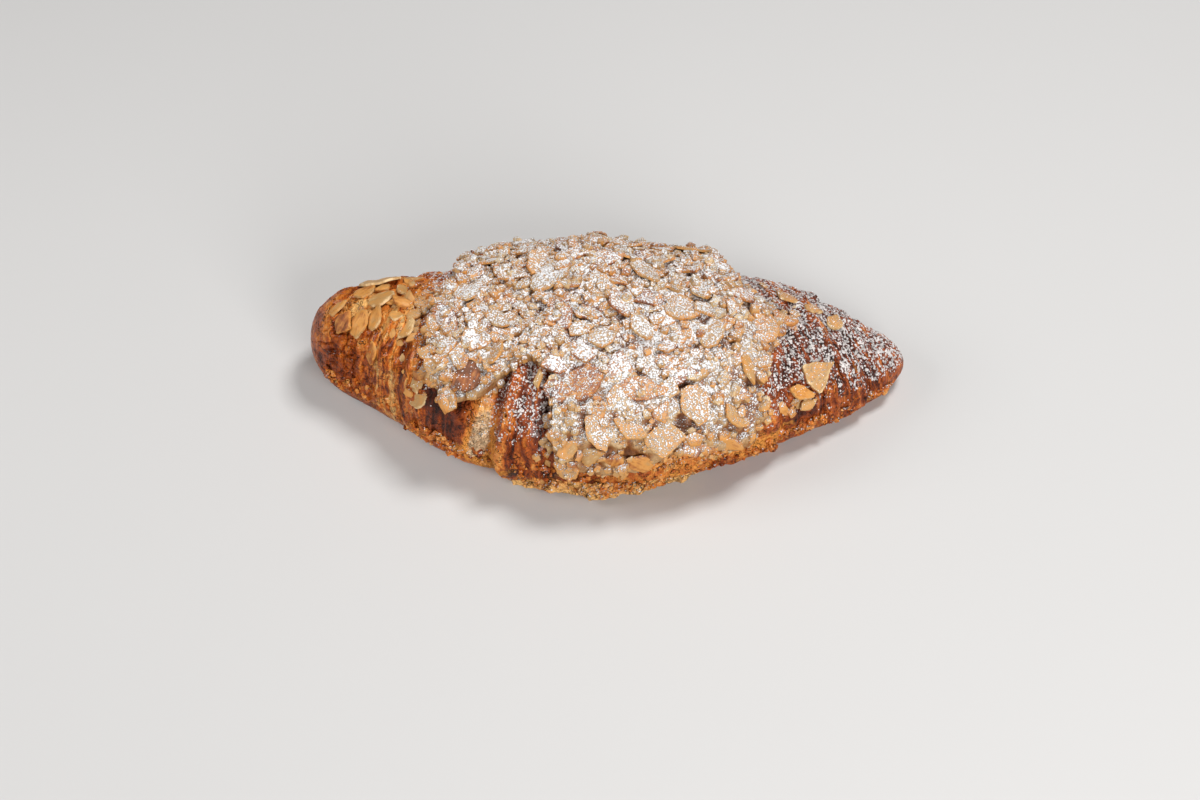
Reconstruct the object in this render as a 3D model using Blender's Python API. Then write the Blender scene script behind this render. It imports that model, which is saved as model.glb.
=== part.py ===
"""Almond croissant: a rolled pastry with a cap of baked almond cream and flaked almonds.

Metres, +Z up. X runs from tip to tip, -Y is the front, and the flat underside lies at Z = 0.
Places on the croissant are given by a ring and an angle. A ring is named by the x at which it
crosses the crest, and the angle runs round it: 0 at the back, 90 at the crest, 180 at the front.
"""

import math
import random

import bmesh
import bpy
from mathutils import Matrix, Vector, noise

# The smooth form of the roll
HALF_LENGTH = 0.1017
LEFT_TIP_CAP = 0.016
RIGHT_TIP_CAP = 0.010
WIDEST_AT = 0.38
SIDE_FULLNESS = 2.2
FOOT_FULLNESS = 2.4
FOOT_DIP = 1.3
TIP_LIFT = 0.003
TIP_LIFT_FROM = 0.078
RELIEF_FADES = (-0.8, -0.2)

# Stations along it: x, y of the spine, reach to the front, reach to the back, height
STATIONS = (
    (-0.1017, 0.0155, 0.0160, 0.0150, 0.0290),
    (-0.0860, 0.0121, 0.0175, 0.0180, 0.0360),
    (-0.0720, 0.0085, 0.0250, 0.0240, 0.0405),
    (-0.0560, 0.0050, 0.0360, 0.0340, 0.0410),
    (-0.0380, 0.0025, 0.0440, 0.0410, 0.0425),
    (-0.0180, 0.0010, 0.0465, 0.0460, 0.0440),
    (0.0020, 0.0005, 0.0465, 0.0460, 0.0435),
    (0.0220, 0.0010, 0.0440, 0.0430, 0.0420),
    (0.0400, 0.0020, 0.0390, 0.0390, 0.0400),
    (0.0520, 0.0035, 0.0345, 0.0345, 0.0365),
    (0.0660, 0.0055, 0.0280, 0.0280, 0.0330),
    (0.0800, 0.0080, 0.0210, 0.0205, 0.0265),
    (0.0920, 0.0100, 0.0145, 0.0130, 0.0165),
    (0.1017, 0.0110, 0.0080, 0.0080, 0.0110),
)

# Where each wrap of the rolled sheet ends: its ring, how far it winds outwards on the way from the
# crest to the front, and the depth of its step
WRAP_EDGES = (
    (-0.0690, -0.0090, 0.0012),
    (-0.0590, -0.0095, 0.0022),
    (-0.0230, -0.0145, 0.0042),
    (0.0460, 0.0110, 0.0032),
    (0.0780, 0.0100, 0.0022),
)
STEP_HALF_WIDTH = 0.0012
STEP_RECOVERY = 0.012
EDGE_SWELL = 0.25
SWELL_RUN = 0.006

# Unevenness of the crust: size of the lumps and their height
CRUST_LUMP = 0.016
CRUST_LUMP_HEIGHT = 0.0011

# The foot of the middle wrap, pressed out at the front as a rough lip
LIP_FROM = -0.0345
LIP_TO = 0.0470
LIP_HALF_WIDTH = 0.0110
LIP_HALF_HEIGHT = 0.0033
LIP_BEYOND_SIDE_LEFT = 0.0024
LIP_BEYOND_SIDE_RIGHT = -0.0024
LIP_RISE = 0.0028
LIP_RISE_FROM = 0.004
LIP_RISE_RUN = 0.015
LIP_END_FULLNESS = 0.35
LIP_LUMP = 0.006
LIP_LUMP_HEIGHT = 0.0008

# The cap of almond cream: its middle and its rim, as ring and degrees
CREAM_MIDDLE = (-0.014, 80)
CREAM_RIM = (
    (-0.0570, 88),
    (-0.0540, 116),
    (-0.0490, 139),
    (-0.0430, 149),
    (-0.0330, 142),
    (-0.0230, 124),
    (-0.0180, 119),
    (-0.0120, 125),
    (-0.0095, 150),
    (-0.0080, 172),
    (-0.0030, 183),
    (0.0080, 182),
    (0.0200, 168),
    (0.0290, 173),
    (0.0370, 177),
    (0.0420, 158),
    (0.0430, 135),
    (0.0500, 114),
    (0.0575, 96),
    (0.0530, 78),
    (0.0480, 48),
    (0.0430, 18),
    (0.0310, -4),
    (0.0160, 6),
    (0.0010, -10),
    (-0.0150, -3),
    (-0.0290, 10),
    (-0.0400, 2),
    (-0.0500, 18),
    (-0.0550, 42),
    (-0.0545, 66),
)
LENGTH_PER_DEGREE = 0.0008

# Its thickness, its unevenness, how much of the wraps' steps still shows through it, how far it
# sinks into the place cut for it, the share of its reach that rounds off, and the gap to the crust
CREAM_THICKNESS = 0.0032
CREAM_LUMP = 0.013
CREAM_LUMP_HEIGHT = 0.0012
CREAM_LUMP_DRIFT = Vector((5, 0, 0))
STEPS_SHOW_THROUGH = 0.4
CREAM_SUNK = 0.0025
RIM_BAND = 0.08
RIM_OVERHANG = 0.75
GAP = 0.0003

# Heaps of the cream: ring, degrees, radius and height
CREAM_HEAPS = (
    (-0.011, 62, 0.014, 0.0028),
    (-0.033, 62, 0.012, 0.0016),
    (-0.034, 122, 0.014, 0.0018),
    (0.002, 150, 0.022, 0.0020),
    (0.034, 60, 0.014, 0.0008),
    (0.054, 100, 0.014, -0.0012),
)

# Sliced almonds: how long and wide a whole one is, and its thickness
SLICE_LENGTH = 0.0225
SLICE_WIDTH = 0.0115
SLICE_THICKNESS = 0.0012
SLICE_SUNK = 0.0004
SLICE_TAPER = 0.35
SLICE_CORNERS = 7

# The broken slices spread over the cream: how many, and the first and last one's share of a whole
SCATTERED_FLAKES = 87
FLAKE_SIZES = (0.74, 0.34)
SCATTER_TRIES = 14
SCATTER_REACH = 0.93

# The slices that stand out on the cream: ring, degrees, length, width, yaw and tilt in degrees
CREAM_FLAKES = (
    (-0.0215, 76, 0.0225, 0.0115, 61, 10),
    (-0.0275, 66, 0.0180, 0.0100, 68, -35),
    (-0.0030, 129, 0.0155, 0.0140, 62, 14),
    (0.0170, 156, 0.0150, 0.0115, 15, 16),
    (0.0245, 141, 0.0145, 0.0105, -81, 8),
    (-0.0355, 131, 0.0105, 0.0100, 87, 6),
    (-0.0290, 119, 0.0105, 0.0070, 71, 40),
    (0.0340, 40, 0.0160, 0.0110, 5, 8),
    (0.0115, 72, 0.0160, 0.0085, -55, 12),
    (0.0235, 94, 0.0135, 0.0135, -24, 8),
    (-0.0145, 129, 0.0075, 0.0030, 83, 20),
    (-0.0050, 160, 0.0080, 0.0065, 43, 25),
    (0.0090, 150, 0.0130, 0.0080, -33, 30),
    (0.0480, 102, 0.0145, 0.0115, 54, 10),
    (0.0320, 108, 0.0145, 0.0075, 57, 18),
    (0.0390, 126, 0.0115, 0.0060, -84, 28),
    (0.0335, 150, 0.0105, 0.0060, -55, 26),
    (0.0000, 109, 0.0100, 0.0095, 12, 10),
    (0.0110, 104, 0.0130, 0.0080, -68, 12),
    (-0.0465, 86, 0.0105, 0.0100, 33, 10),
    (-0.0325, 102, 0.0100, 0.0075, -39, 14),
)

# The toasted slices that lie on the crust itself, in the same terms
CRUST_FLAKES = (
    (-0.0895, 102, 0.0080, 0.0050, 37, 20),
    (-0.0860, 120, 0.0090, 0.0088, 62, 8),
    (-0.0795, 117, 0.0110, 0.0070, 85, 10),
    (-0.0742, 110, 0.0095, 0.0055, 95, 18),
    (-0.0755, 88, 0.0095, 0.0085, 33, 14),
    (-0.0825, 76, 0.0085, 0.0075, 53, 8),
    (-0.0805, 57, 0.0170, 0.0095, -12, 5),
    (-0.0700, 55, 0.0085, 0.0065, -20, 12),
    (-0.0700, 76, 0.0080, 0.0060, -51, 20),
    (-0.0672, 106, 0.0055, 0.0052, 14, 12),
    (-0.0715, 142, 0.0090, 0.0052, 86, 10),
    (-0.0625, 112, 0.0090, 0.0062, 90, 14),
    (-0.0520, 158, 0.0095, 0.0055, 41, 12),
    (0.0620, 135, 0.0155, 0.0130, 22, 6),
    (0.0765, 88, 0.0085, 0.0065, 67, 12),
    (0.0710, 78, 0.0075, 0.0060, -16, 14),
    (0.0650, 66, 0.0095, 0.0075, -25, 12),
    (0.0545, 148, 0.0110, 0.0055, -25, 24),
    (0.0560, 160, 0.0075, 0.0045, 10, 20),
)

# Faces round and along each form
TIP_RINGS = (-0.097, 0.098)
RING_SPACING = 0.0055
ARC_STEPS = 36
CREAM_SECTORS = 50
CREAM_TOP_RINGS = 10
CREAM_EDGE_RINGS = 4
LIP_STEPS = 26
LIP_SIDES = 10

CRUST_COLOUR = (0.42, 0.17, 0.06, 1)
ALMOND_COLOUR = (0.72, 0.55, 0.36, 1)
ROUGHNESS = 0.55
SHARP_ANGLE = math.radians(35)


# ---------------------------------------------------------------- the form of the roll


def smooth_step(value, low, high):
    """0 below low, 1 above high and a smooth rise between."""
    share = min(1.0, max(0.0, (value - low) / (high - low)))
    return share * share * (3 - 2 * share)


def station_values(x):
    """Spine y, front reach, back reach and height at x, on a smooth curve through the stations."""
    last = len(STATIONS) - 1
    x = min(max(x, STATIONS[0][0]), STATIONS[last][0])
    i = next(k for k in range(last) if x <= STATIONS[k + 1][0])
    before, low, high, after = (STATIONS[min(max(k, 0), last)] for k in range(i - 1, i + 3))
    span = high[0] - low[0]
    t = (x - low[0]) / span
    values = []
    for column in range(1, 5):
        slope_low = (high[column] - before[column]) / (high[0] - before[0]) * span
        slope_high = (after[column] - low[column]) / (after[0] - low[0]) * span
        values.append(
            (2 * t**3 - 3 * t**2 + 1) * low[column]
            + (t**3 - 2 * t**2 + t) * slope_low
            + (3 * t**2 - 2 * t**3) * high[column]
            + (t**3 - t**2) * slope_high
        )
    return values


def tip_rounding(x):
    """Share of the section left at x: 1 along the roll, falling to 0 on an ellipse at each tip."""
    cap = LEFT_TIP_CAP if x < 0 else RIGHT_TIP_CAP
    into = (abs(x) - (HALF_LENGTH - cap)) / cap
    return math.sqrt(max(0.0, 1 - into * into)) if into > 0 else 1.0


def winding(ring):
    """How far this ring leans outwards at the front, because the sheet is wound on a slant."""
    marks = ((-HALF_LENGTH, 0.0), *((edge[0], edge[1]) for edge in WRAP_EDGES), (HALF_LENGTH, 0.0))
    for low, high in zip(marks, marks[1:]):
        if ring <= high[0]:
            return low[1] + (ring - low[0]) / (high[0] - low[0]) * (high[1] - low[1])
    return 0.0


def wrap_relief(ring):
    """Height of the crust over the smooth form, from the steps where each wrap ends."""
    relief = 0.0
    for crest, _, depth in WRAP_EDGES:
        beyond = (ring - crest) * math.copysign(1.0, crest)
        stepped = smooth_step(beyond, -STEP_HALF_WIDTH, STEP_HALF_WIDTH)
        relief -= depth * stepped * math.exp(-max(beyond, 0.0) / STEP_RECOVERY)
        relief += EDGE_SWELL * depth * (1 - stepped) * math.exp(min(beyond, 0.0) / SWELL_RUN)
    return relief


def roll_point(ring, angle, relief):
    """A point of the roll, with its skin raised by relief on the top and sides."""
    across, up = math.cos(angle), math.sin(angle)
    x = min(max(ring - winding(ring) * across, -HALF_LENGTH), HALF_LENGTH)
    spine, front, back, height = station_values(x)
    share = tip_rounding(x)
    lift = TIP_LIFT * smooth_step(abs(x), TIP_LIFT_FROM, HALF_LENGTH)
    middle = WIDEST_AT * height
    fullness = SIDE_FULLNESS if up >= 0 else FOOT_FULLNESS
    reach = (abs(across) ** fullness + abs(up) ** fullness) ** (-1 / fullness)
    rise = height - middle if up >= 0 else middle * FOOT_DIP
    relief *= smooth_step(up, *RELIEF_FADES)
    y = spine + ((back if across >= 0 else front) * reach + relief) * across * share
    z = lift + middle + (rise * reach + relief) * up * share
    return Vector((x, y, max(z, 0.0)))


def crust_point(ring, angle):
    """A point of the pastry's crust, with its wraps and its unevenness."""
    smooth = roll_point(ring, angle, 0.0)
    lumps = CRUST_LUMP_HEIGHT * noise.noise(smooth / CRUST_LUMP)
    return roll_point(ring, angle, wrap_relief(ring) + lumps)


def axes_at(ring, angle):
    """Unit vectors at a place on the roll: along it, round it and out of it."""
    step = 0.0005
    turn = 0.01
    along = roll_point(ring + step, angle, 0.0) - roll_point(ring - step, angle, 0.0)
    around = roll_point(ring, angle + turn, 0.0) - roll_point(ring, angle - turn, 0.0)
    outward = around.cross(along).normalized()
    along.normalize()
    return along, outward.cross(along), outward


# ---------------------------------------------------------------- the cap of almond cream


def rim_reach(direction):
    """Distance from the cream's middle to its rim, in this direction over the crust."""
    corners = []
    for ring, degrees in CREAM_RIM:
        along = ring - CREAM_MIDDLE[0]
        around = (degrees - CREAM_MIDDLE[1]) * LENGTH_PER_DEGREE
        corners.append((math.atan2(around, along) % math.tau, math.hypot(along, around)))
    corners.sort()
    corners = [(corners[-1][0] - math.tau, corners[-1][1]), *corners]
    corners.append((corners[1][0] + math.tau, corners[1][1]))
    for low, high in zip(corners, corners[1:]):
        if direction <= high[0]:
            share = smooth_step(direction, low[0], high[0])
            return low[1] + share * (high[1] - low[1])
    return corners[-1][1]


def cream_place(share, direction):
    """Ring and angle of the place that lies this share of the way to the rim."""
    reach = share * rim_reach(direction % math.tau)
    ring = CREAM_MIDDLE[0] + reach * math.cos(direction)
    degrees = CREAM_MIDDLE[1] + reach * math.sin(direction) / LENGTH_PER_DEGREE
    return ring, math.radians(degrees)


def cream_thickness(ring, angle, base):
    """Thickness of the cream at a place on the roll, in heaps and lumps."""
    thickness = CREAM_THICKNESS
    for heap_ring, degrees, radius, height in CREAM_HEAPS:
        away = math.hypot(ring - heap_ring, (math.degrees(angle) - degrees) * LENGTH_PER_DEGREE)
        thickness += height * math.exp(-((away / radius) ** 2))
    return thickness + CREAM_LUMP_HEIGHT * noise.noise(base / CREAM_LUMP + CREAM_LUMP_DRIFT)


def cream_point(share, direction, height):
    """A point of the cream at this share of its thickness, or sunk into the crust below 0."""
    ring, angle = cream_place(share, direction)
    followed = STEPS_SHOW_THROUGH + (1 - STEPS_SHOW_THROUGH) * share**3
    base = roll_point(ring, angle, wrap_relief(ring) * followed)
    outward = axes_at(ring, angle)[2]
    if height < 0:
        return base + outward * height * CREAM_SUNK
    return base + outward * height * cream_thickness(ring, angle, base)


# ---------------------------------------------------------------- making and joining meshes


def new_object(name, mesh_maker, collection):
    """An object whose mesh is shaped by mesh_maker, in flat triangles that face outwards."""
    mesh = bpy.data.meshes.new(name)
    shape = bmesh.new()
    mesh_maker(shape)
    bmesh.ops.triangulate(shape, faces=shape.faces)
    if shape.calc_volume(signed=True) < 0:
        bmesh.ops.reverse_faces(shape, faces=shape.faces)
    shape.to_mesh(mesh)
    shape.free()
    made = bpy.data.objects.new(name, mesh)
    collection.objects.link(made)
    return made


def pole_row_and_turn(corner, rows):
    """Row from the south pole, and share of a turn, of a corner of a unit sphere."""
    row = round((1 - math.acos(min(1.0, max(-1.0, corner.z))) / math.pi) * rows)
    return row, (math.atan2(corner.y, corner.x) / math.tau) % 1.0


def ring_marks():
    """Rings from tip to tip: two at each wrap's step, and even ones between."""
    steps = [edge[0] + side * STEP_HALF_WIDTH for edge in WRAP_EDGES for side in (-1, 1)]
    stops = [-HALF_LENGTH, TIP_RINGS[0], *steps, TIP_RINGS[1], HALF_LENGTH]
    marks = []
    for low, high in zip(stops, stops[1:]):
        count = max(1, round((high - low) / RING_SPACING))
        marks += [low + (high - low) * k / count for k in range(count)]
    return [*marks, HALF_LENGTH]


def roll_shape(shape, grown):
    """A sphere with its poles at the tips, drawn out to the crust."""
    marks = ring_marks()
    rows = len(marks) - 1
    bmesh.ops.create_uvsphere(shape, u_segments=ARC_STEPS, v_segments=rows, radius=1.0)
    for corner in shape.verts:
        row, turn = pole_row_and_turn(corner.co, rows)
        ring, angle = marks[row], turn * math.tau
        outward = Vector((ring, 0, 0)).normalized() if row in (0, rows) else axes_at(ring, angle)[2]
        corner.co = crust_point(ring, angle) + outward * grown


def lip_shape(shape, grown):
    """A flat tongue along the front foot, thicker to the right and rough along its rim."""
    bmesh.ops.create_uvsphere(shape, u_segments=LIP_SIDES, v_segments=LIP_STEPS, radius=1.0)
    for corner in shape.verts:
        row, turn = pole_row_and_turn(corner.co, LIP_STEPS)
        share = row / LIP_STEPS
        x = LIP_FROM + share * (LIP_TO - LIP_FROM)
        spine, front, _, _ = station_values(x)
        end = math.sin(math.pi * share) ** LIP_END_FULLNESS
        beyond = LIP_BEYOND_SIDE_LEFT + share * (LIP_BEYOND_SIDE_RIGHT - LIP_BEYOND_SIDE_LEFT)
        beyond += LIP_LUMP_HEIGHT * noise.noise(Vector((x / LIP_LUMP, 0, 0)))
        rise = LIP_RISE * smooth_step(x, LIP_RISE_FROM, LIP_RISE_FROM + LIP_RISE_RUN)
        half_height = LIP_HALF_HEIGHT + rise
        across = end * math.cos(turn * math.tau)
        up = end * math.sin(turn * math.tau)
        y = spine - front - beyond + LIP_HALF_WIDTH * (1 + across) + grown * across
        z = half_height * (1 + up) + grown * up
        corner.co = (x, y, max(z, 0.0))


def cream_shape(shape):
    """A sphere with a pole at the cap's middle, pressed flat over the crust out to the rim."""
    rows = CREAM_TOP_RINGS + CREAM_EDGE_RINGS + 2
    bmesh.ops.create_uvsphere(shape, u_segments=CREAM_SECTORS, v_segments=rows, radius=1.0)
    for corner in shape.verts:
        row, turn = pole_row_and_turn(corner.co, rows)
        row = rows - row
        direction = turn * math.tau
        edge = (row - CREAM_TOP_RINGS) / CREAM_EDGE_RINGS
        if edge <= 0:
            share, height = (1 - RIM_BAND) * row / CREAM_TOP_RINGS, 1.0
        elif edge <= 1:
            share = 1 - RIM_BAND * (1 - math.sin(edge * math.pi * RIM_OVERHANG))
            height = 0.5 + 0.5 * math.cos(edge * math.pi)
        else:
            share, height = (1 - RIM_BAND) * (rows - row) / 2, -1.0
        corner.co = cream_point(share, direction, height)


def flake_shape(length, width, bend, snaps, grown):
    """A sliced almond: an oval pointed at one end, bent along its length, with snapped edges."""

    def maker(shape):
        bmesh.ops.create_circle(shape, cap_ends=True, cap_tris=True, segments=SLICE_CORNERS, radius=1.0)
        for corner in shape.verts:
            x, y = corner.co.x, corner.co.y
            corner.co = (x * length / 2, y * width / 2 * (1 - SLICE_TAPER * max(x, 0.0)), 0)
            for turn, keep in snaps:
                side = Vector((math.cos(turn), math.sin(turn), 0))
                beyond = corner.co.dot(side) - keep * length / 2
                corner.co -= side * max(beyond, 0.0)
            corner.co += corner.co.normalized() * grown
        raised = bmesh.ops.extrude_face_region(shape, geom=list(shape.faces))["geom"]
        top = [item for item in raised if isinstance(item, bmesh.types.BMVert)]
        bmesh.ops.translate(shape, verts=top, vec=(0, 0, SLICE_THICKNESS + 2 * grown))
        for corner in shape.verts:
            corner.co.z += bend * (corner.co.x / (length / 2)) ** 2 - grown

    return maker


def plain_triangles(shape):
    """Triangles without the needless corners that joining leaves, or faces that lie back to back."""
    needless = [corner for corner in shape.verts if len(corner.link_edges) == 2]
    bmesh.ops.dissolve_verts(shape, verts=needless)
    bmesh.ops.triangulate(shape, faces=shape.faces)
    seen = {}
    for face in shape.faces:
        seen.setdefault(frozenset(face.verts), []).append(face)
    doubled = [face for faces in seen.values() if len(faces) == 2 for face in faces]
    bmesh.ops.delete(shape, geom=doubled, context="FACES")


def keep_outer_shell(shape):
    """Drops loose scraps, and the shells of hollows that the joining sealed."""
    left = set(shape.faces)
    shells = []
    while left:
        front = [left.pop()]
        shell = list(front)
        while front:
            for edge in front.pop().edges:
                beside = [face for face in edge.link_faces if face in left]
                if len(edge.link_faces) == 2 and beside:
                    left.discard(beside[0])
                    front.append(beside[0])
                    shell.append(beside[0])
        shells.append(shell)
    shells.sort(key=len)
    for shell in shells[:-1]:
        bmesh.ops.delete(shape, geom=shell, context="FACES")


def helpers(name):
    """A collection for pieces that are about to be joined."""
    made = bpy.data.collections.new(name)
    bpy.context.scene.collection.children.link(made)
    return made


def join(target, pieces, cutter=None):
    """Fuses the collection's objects to target, cuts it clear of cutter, and removes them all."""
    union = target.modifiers.new("union", "BOOLEAN")
    union.operation = "UNION"
    union.operand_type = "COLLECTION"
    union.collection = pieces
    if cutter:
        clear = target.modifiers.new("clear", "BOOLEAN")
        clear.operation = "DIFFERENCE"
        clear.object = cutter
    bpy.context.view_layer.update()
    evaluated = target.evaluated_get(bpy.context.evaluated_depsgraph_get())
    fused = bpy.data.meshes.new_from_object(evaluated)
    target.modifiers.clear()
    target.data = fused
    for old in [*pieces.objects, *([cutter] if cutter else [])]:
        bpy.data.objects.remove(old)
    bpy.data.collections.remove(pieces)
    shape = bmesh.new()
    shape.from_mesh(fused)
    plain_triangles(shape)
    keep_outer_shell(shape)
    shape.to_mesh(fused)
    shape.free()


# ---------------------------------------------------------------- laying the flaked almonds


def set_down(made, base, ring, angle, yaw, tilt, lean):
    """Lays a flake at a place on the croissant, turned by yaw and tilted towards lean."""
    along, around, outward = axes_at(ring, angle)
    place = Matrix.Translation(base - outward * SLICE_SUNK)
    frame = Matrix((along, around, outward)).transposed().to_4x4()
    tilted = Matrix.Rotation(lean, 4, "Z") @ Matrix.Rotation(tilt, 4, "Y") @ Matrix.Rotation(-lean, 4, "Z")
    made.matrix_world = place @ frame @ tilted @ Matrix.Rotation(yaw, 4, "Z")


def named_flakes(rows, surface, grown, collection):
    """The slices that stand out, each with one snapped edge."""
    draw = random.Random(3)
    for number, (ring, degrees, length, width, yaw, tilt) in enumerate(rows):
        snaps = [(draw.uniform(0, math.tau), draw.uniform(0.55, 0.85))]
        maker = flake_shape(length, width, draw.uniform(-0.0006, 0.0006), snaps, grown)
        made = new_object(f"named_{number}", maker, collection)
        angle = math.radians(degrees)
        lean = math.radians(yaw + 90)
        set_down(made, surface(ring, angle), ring, angle, math.radians(yaw), math.radians(tilt), lean)


def cream_surface(ring, angle):
    """The top of the cream at a place on the roll."""
    base = roll_point(ring, angle, wrap_relief(ring) * STEPS_SHOW_THROUGH)
    return base + axes_at(ring, angle)[2] * cream_thickness(ring, angle, base)


def scattered_flakes(collection):
    """Broken slices spread evenly over the cream between the ones that stand out, largest first."""
    draw = random.Random(5)
    taken = [cream_surface(row[0], math.radians(row[1])) for row in CREAM_FLAKES]
    for number in range(SCATTERED_FLAKES):
        choices = []
        for _ in range(SCATTER_TRIES):
            share = SCATTER_REACH * math.sqrt(draw.random())
            ring, angle = cream_place(share, draw.uniform(0, math.tau))
            base = cream_surface(ring, angle)
            spare = min((base - other).length for other in taken)
            choices.append((spare, ring, angle, base))
        _, ring, angle, base = max(choices, key=lambda choice: choice[0])
        taken.append(base)
        size = FLAKE_SIZES[0] + (FLAKE_SIZES[1] - FLAKE_SIZES[0]) * number / SCATTERED_FLAKES
        width = SLICE_WIDTH * min(1.0, 0.4 + size * draw.uniform(0.4, 0.8))
        snaps = [(draw.uniform(0, math.tau), draw.uniform(0.3, 0.75)) for _ in range(draw.choice((1, 2)))]
        maker = flake_shape(size * SLICE_LENGTH, width, draw.uniform(-0.0008, 0.0008), snaps, 0.0)
        made = new_object(f"scattered_{number}", maker, collection)
        yaw, lean = draw.uniform(0, math.tau), draw.uniform(0, math.tau)
        set_down(made, base, ring, angle, yaw, draw.uniform(0.10, 0.42), lean)


def pastry_object(name, grown, collection):
    """The roll with its lip and the slices that lie on its crust, grown all over by grown."""
    made = new_object(name, lambda shape: roll_shape(shape, grown), collection)
    pieces = helpers(name + "_pieces")
    new_object("lip", lambda shape: lip_shape(shape, grown), pieces)
    named_flakes(CRUST_FLAKES, crust_point, grown, pieces)
    join(made, pieces)
    return made


# ---------------------------------------------------------------- the croissant

for old in list(bpy.data.objects):
    bpy.data.objects.remove(old)
parts = helpers("almond_croissant")

pastry = pastry_object("pastry", 0.0, parts)

topping = new_object("almond_topping", cream_shape, parts)
on_cream = helpers("on_cream")
named_flakes(CREAM_FLAKES, cream_surface, 0.0, on_cream)
scattered_flakes(on_cream)
join(topping, on_cream, pastry_object("clearance", GAP, parts))

for made, finish, colour in ((pastry, "crust", CRUST_COLOUR), (topping, "almond", ALMOND_COLOUR)):
    material = bpy.data.materials.new(finish)
    material.use_nodes = True
    shader = material.node_tree.nodes["Principled BSDF"]
    shader.inputs["Base Color"].default_value = colour
    shader.inputs["Roughness"].default_value = ROUGHNESS
    shader.inputs["Metallic"].default_value = 0.0
    made.data.materials.clear()
    made.data.materials.append(material)
    made.data.shade_smooth()
    made.data.set_sharp_from_angle(angle=SHARP_ANGLE)
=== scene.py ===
"""The looks of a baked almond croissant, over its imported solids. Metres, +Z up, the front at -Y.

Places on it are given by a ring and an angle. A ring is named by the x at which it crosses the
crest, and the angle runs round it: 0 at the back, 90 at the crest, 180 at the front.
"""

import math
import random

import bmesh
import bpy
import numpy as np
from mathutils import Matrix, Vector, noise
from mathutils.bvhtree import BVHTree


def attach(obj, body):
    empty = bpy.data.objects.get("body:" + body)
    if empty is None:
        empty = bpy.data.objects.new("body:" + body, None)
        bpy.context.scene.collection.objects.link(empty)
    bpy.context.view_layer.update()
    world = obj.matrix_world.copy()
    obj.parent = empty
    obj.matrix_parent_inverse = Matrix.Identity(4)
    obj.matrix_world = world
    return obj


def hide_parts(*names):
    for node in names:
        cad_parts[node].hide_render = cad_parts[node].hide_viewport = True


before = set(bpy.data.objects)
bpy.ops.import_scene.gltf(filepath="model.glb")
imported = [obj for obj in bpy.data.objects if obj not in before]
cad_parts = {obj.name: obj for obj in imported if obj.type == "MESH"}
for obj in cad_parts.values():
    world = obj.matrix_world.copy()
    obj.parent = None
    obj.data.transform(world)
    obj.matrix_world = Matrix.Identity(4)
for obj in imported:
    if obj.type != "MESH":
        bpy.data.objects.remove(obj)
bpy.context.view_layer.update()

# ---------------------------------------------------------------- the roll
# A sheet of laminated dough, wound up from tip to tip on a slant, washed with egg and baked. Each
# wrap ends in a step, and the skin is stretched into fine ridges that follow the wraps. It is a
# sphere with its poles at the tips, drawn out ring by ring to the form of the pastry node.

HALF_LENGTH = 0.1017
LEFT_TIP_CAP = 0.016
RIGHT_TIP_CAP = 0.010
WIDEST_AT = 0.38
SIDE_FULLNESS = 2.2
FOOT_FULLNESS = 2.4
FOOT_DIP = 1.3
TIP_LIFT = 0.003
TIP_LIFT_FROM = 0.078
RELIEF_FADES = (-0.8, -0.2)

# Stations along it: x, y of the spine, reach to the front, reach to the back, height
STATIONS = np.array((
    (-0.1017, 0.0155, 0.0160, 0.0150, 0.0290),
    (-0.0860, 0.0121, 0.0175, 0.0180, 0.0360),
    (-0.0720, 0.0085, 0.0250, 0.0240, 0.0405),
    (-0.0560, 0.0050, 0.0360, 0.0340, 0.0410),
    (-0.0380, 0.0025, 0.0440, 0.0410, 0.0425),
    (-0.0180, 0.0010, 0.0465, 0.0460, 0.0440),
    (0.0020, 0.0005, 0.0465, 0.0460, 0.0435),
    (0.0220, 0.0010, 0.0440, 0.0430, 0.0420),
    (0.0400, 0.0020, 0.0390, 0.0390, 0.0400),
    (0.0520, 0.0035, 0.0345, 0.0345, 0.0365),
    (0.0660, 0.0055, 0.0280, 0.0280, 0.0330),
    (0.0800, 0.0080, 0.0210, 0.0205, 0.0265),
    (0.0920, 0.0100, 0.0145, 0.0130, 0.0165),
    (0.1017, 0.0110, 0.0080, 0.0080, 0.0110),
))

# Where each wrap ends: its ring, how far it winds outwards from the crest to the front, its depth
WRAP_EDGES = np.array((
    (-0.0690, -0.0090, 0.0012),
    (-0.0590, -0.0095, 0.0022),
    (-0.0230, -0.0145, 0.0042),
    (0.0460, 0.0110, 0.0032),
    (0.0780, 0.0100, 0.0022),
))
STEP_HALF_WIDTH = 0.0012
STEP_RECOVERY = 0.012
EDGE_SWELL = 0.25
SWELL_RUN = 0.006
CRUST_LUMP = 0.016
CRUST_LUMP_HEIGHT = 0.0011

# Faces round and along the roll; most of those round it lie on the top and the sides
ROUND_STEPS = 296
ALONG_STEPS = 320
TIP_STEPS = 14
UNDERSIDE = (math.radians(215), math.radians(325))
UNDERSIDE_SHARE = 0.13

# Radius at which the length of a streak round the roll is measured
STREAK_RADIUS = 0.035


def smooth_step(value, low, high):
    """0 below low, 1 above high and a smooth rise between."""
    share = np.clip((value - low) / (high - low), 0.0, 1.0)
    return share * share * (3 - 2 * share)


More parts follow.
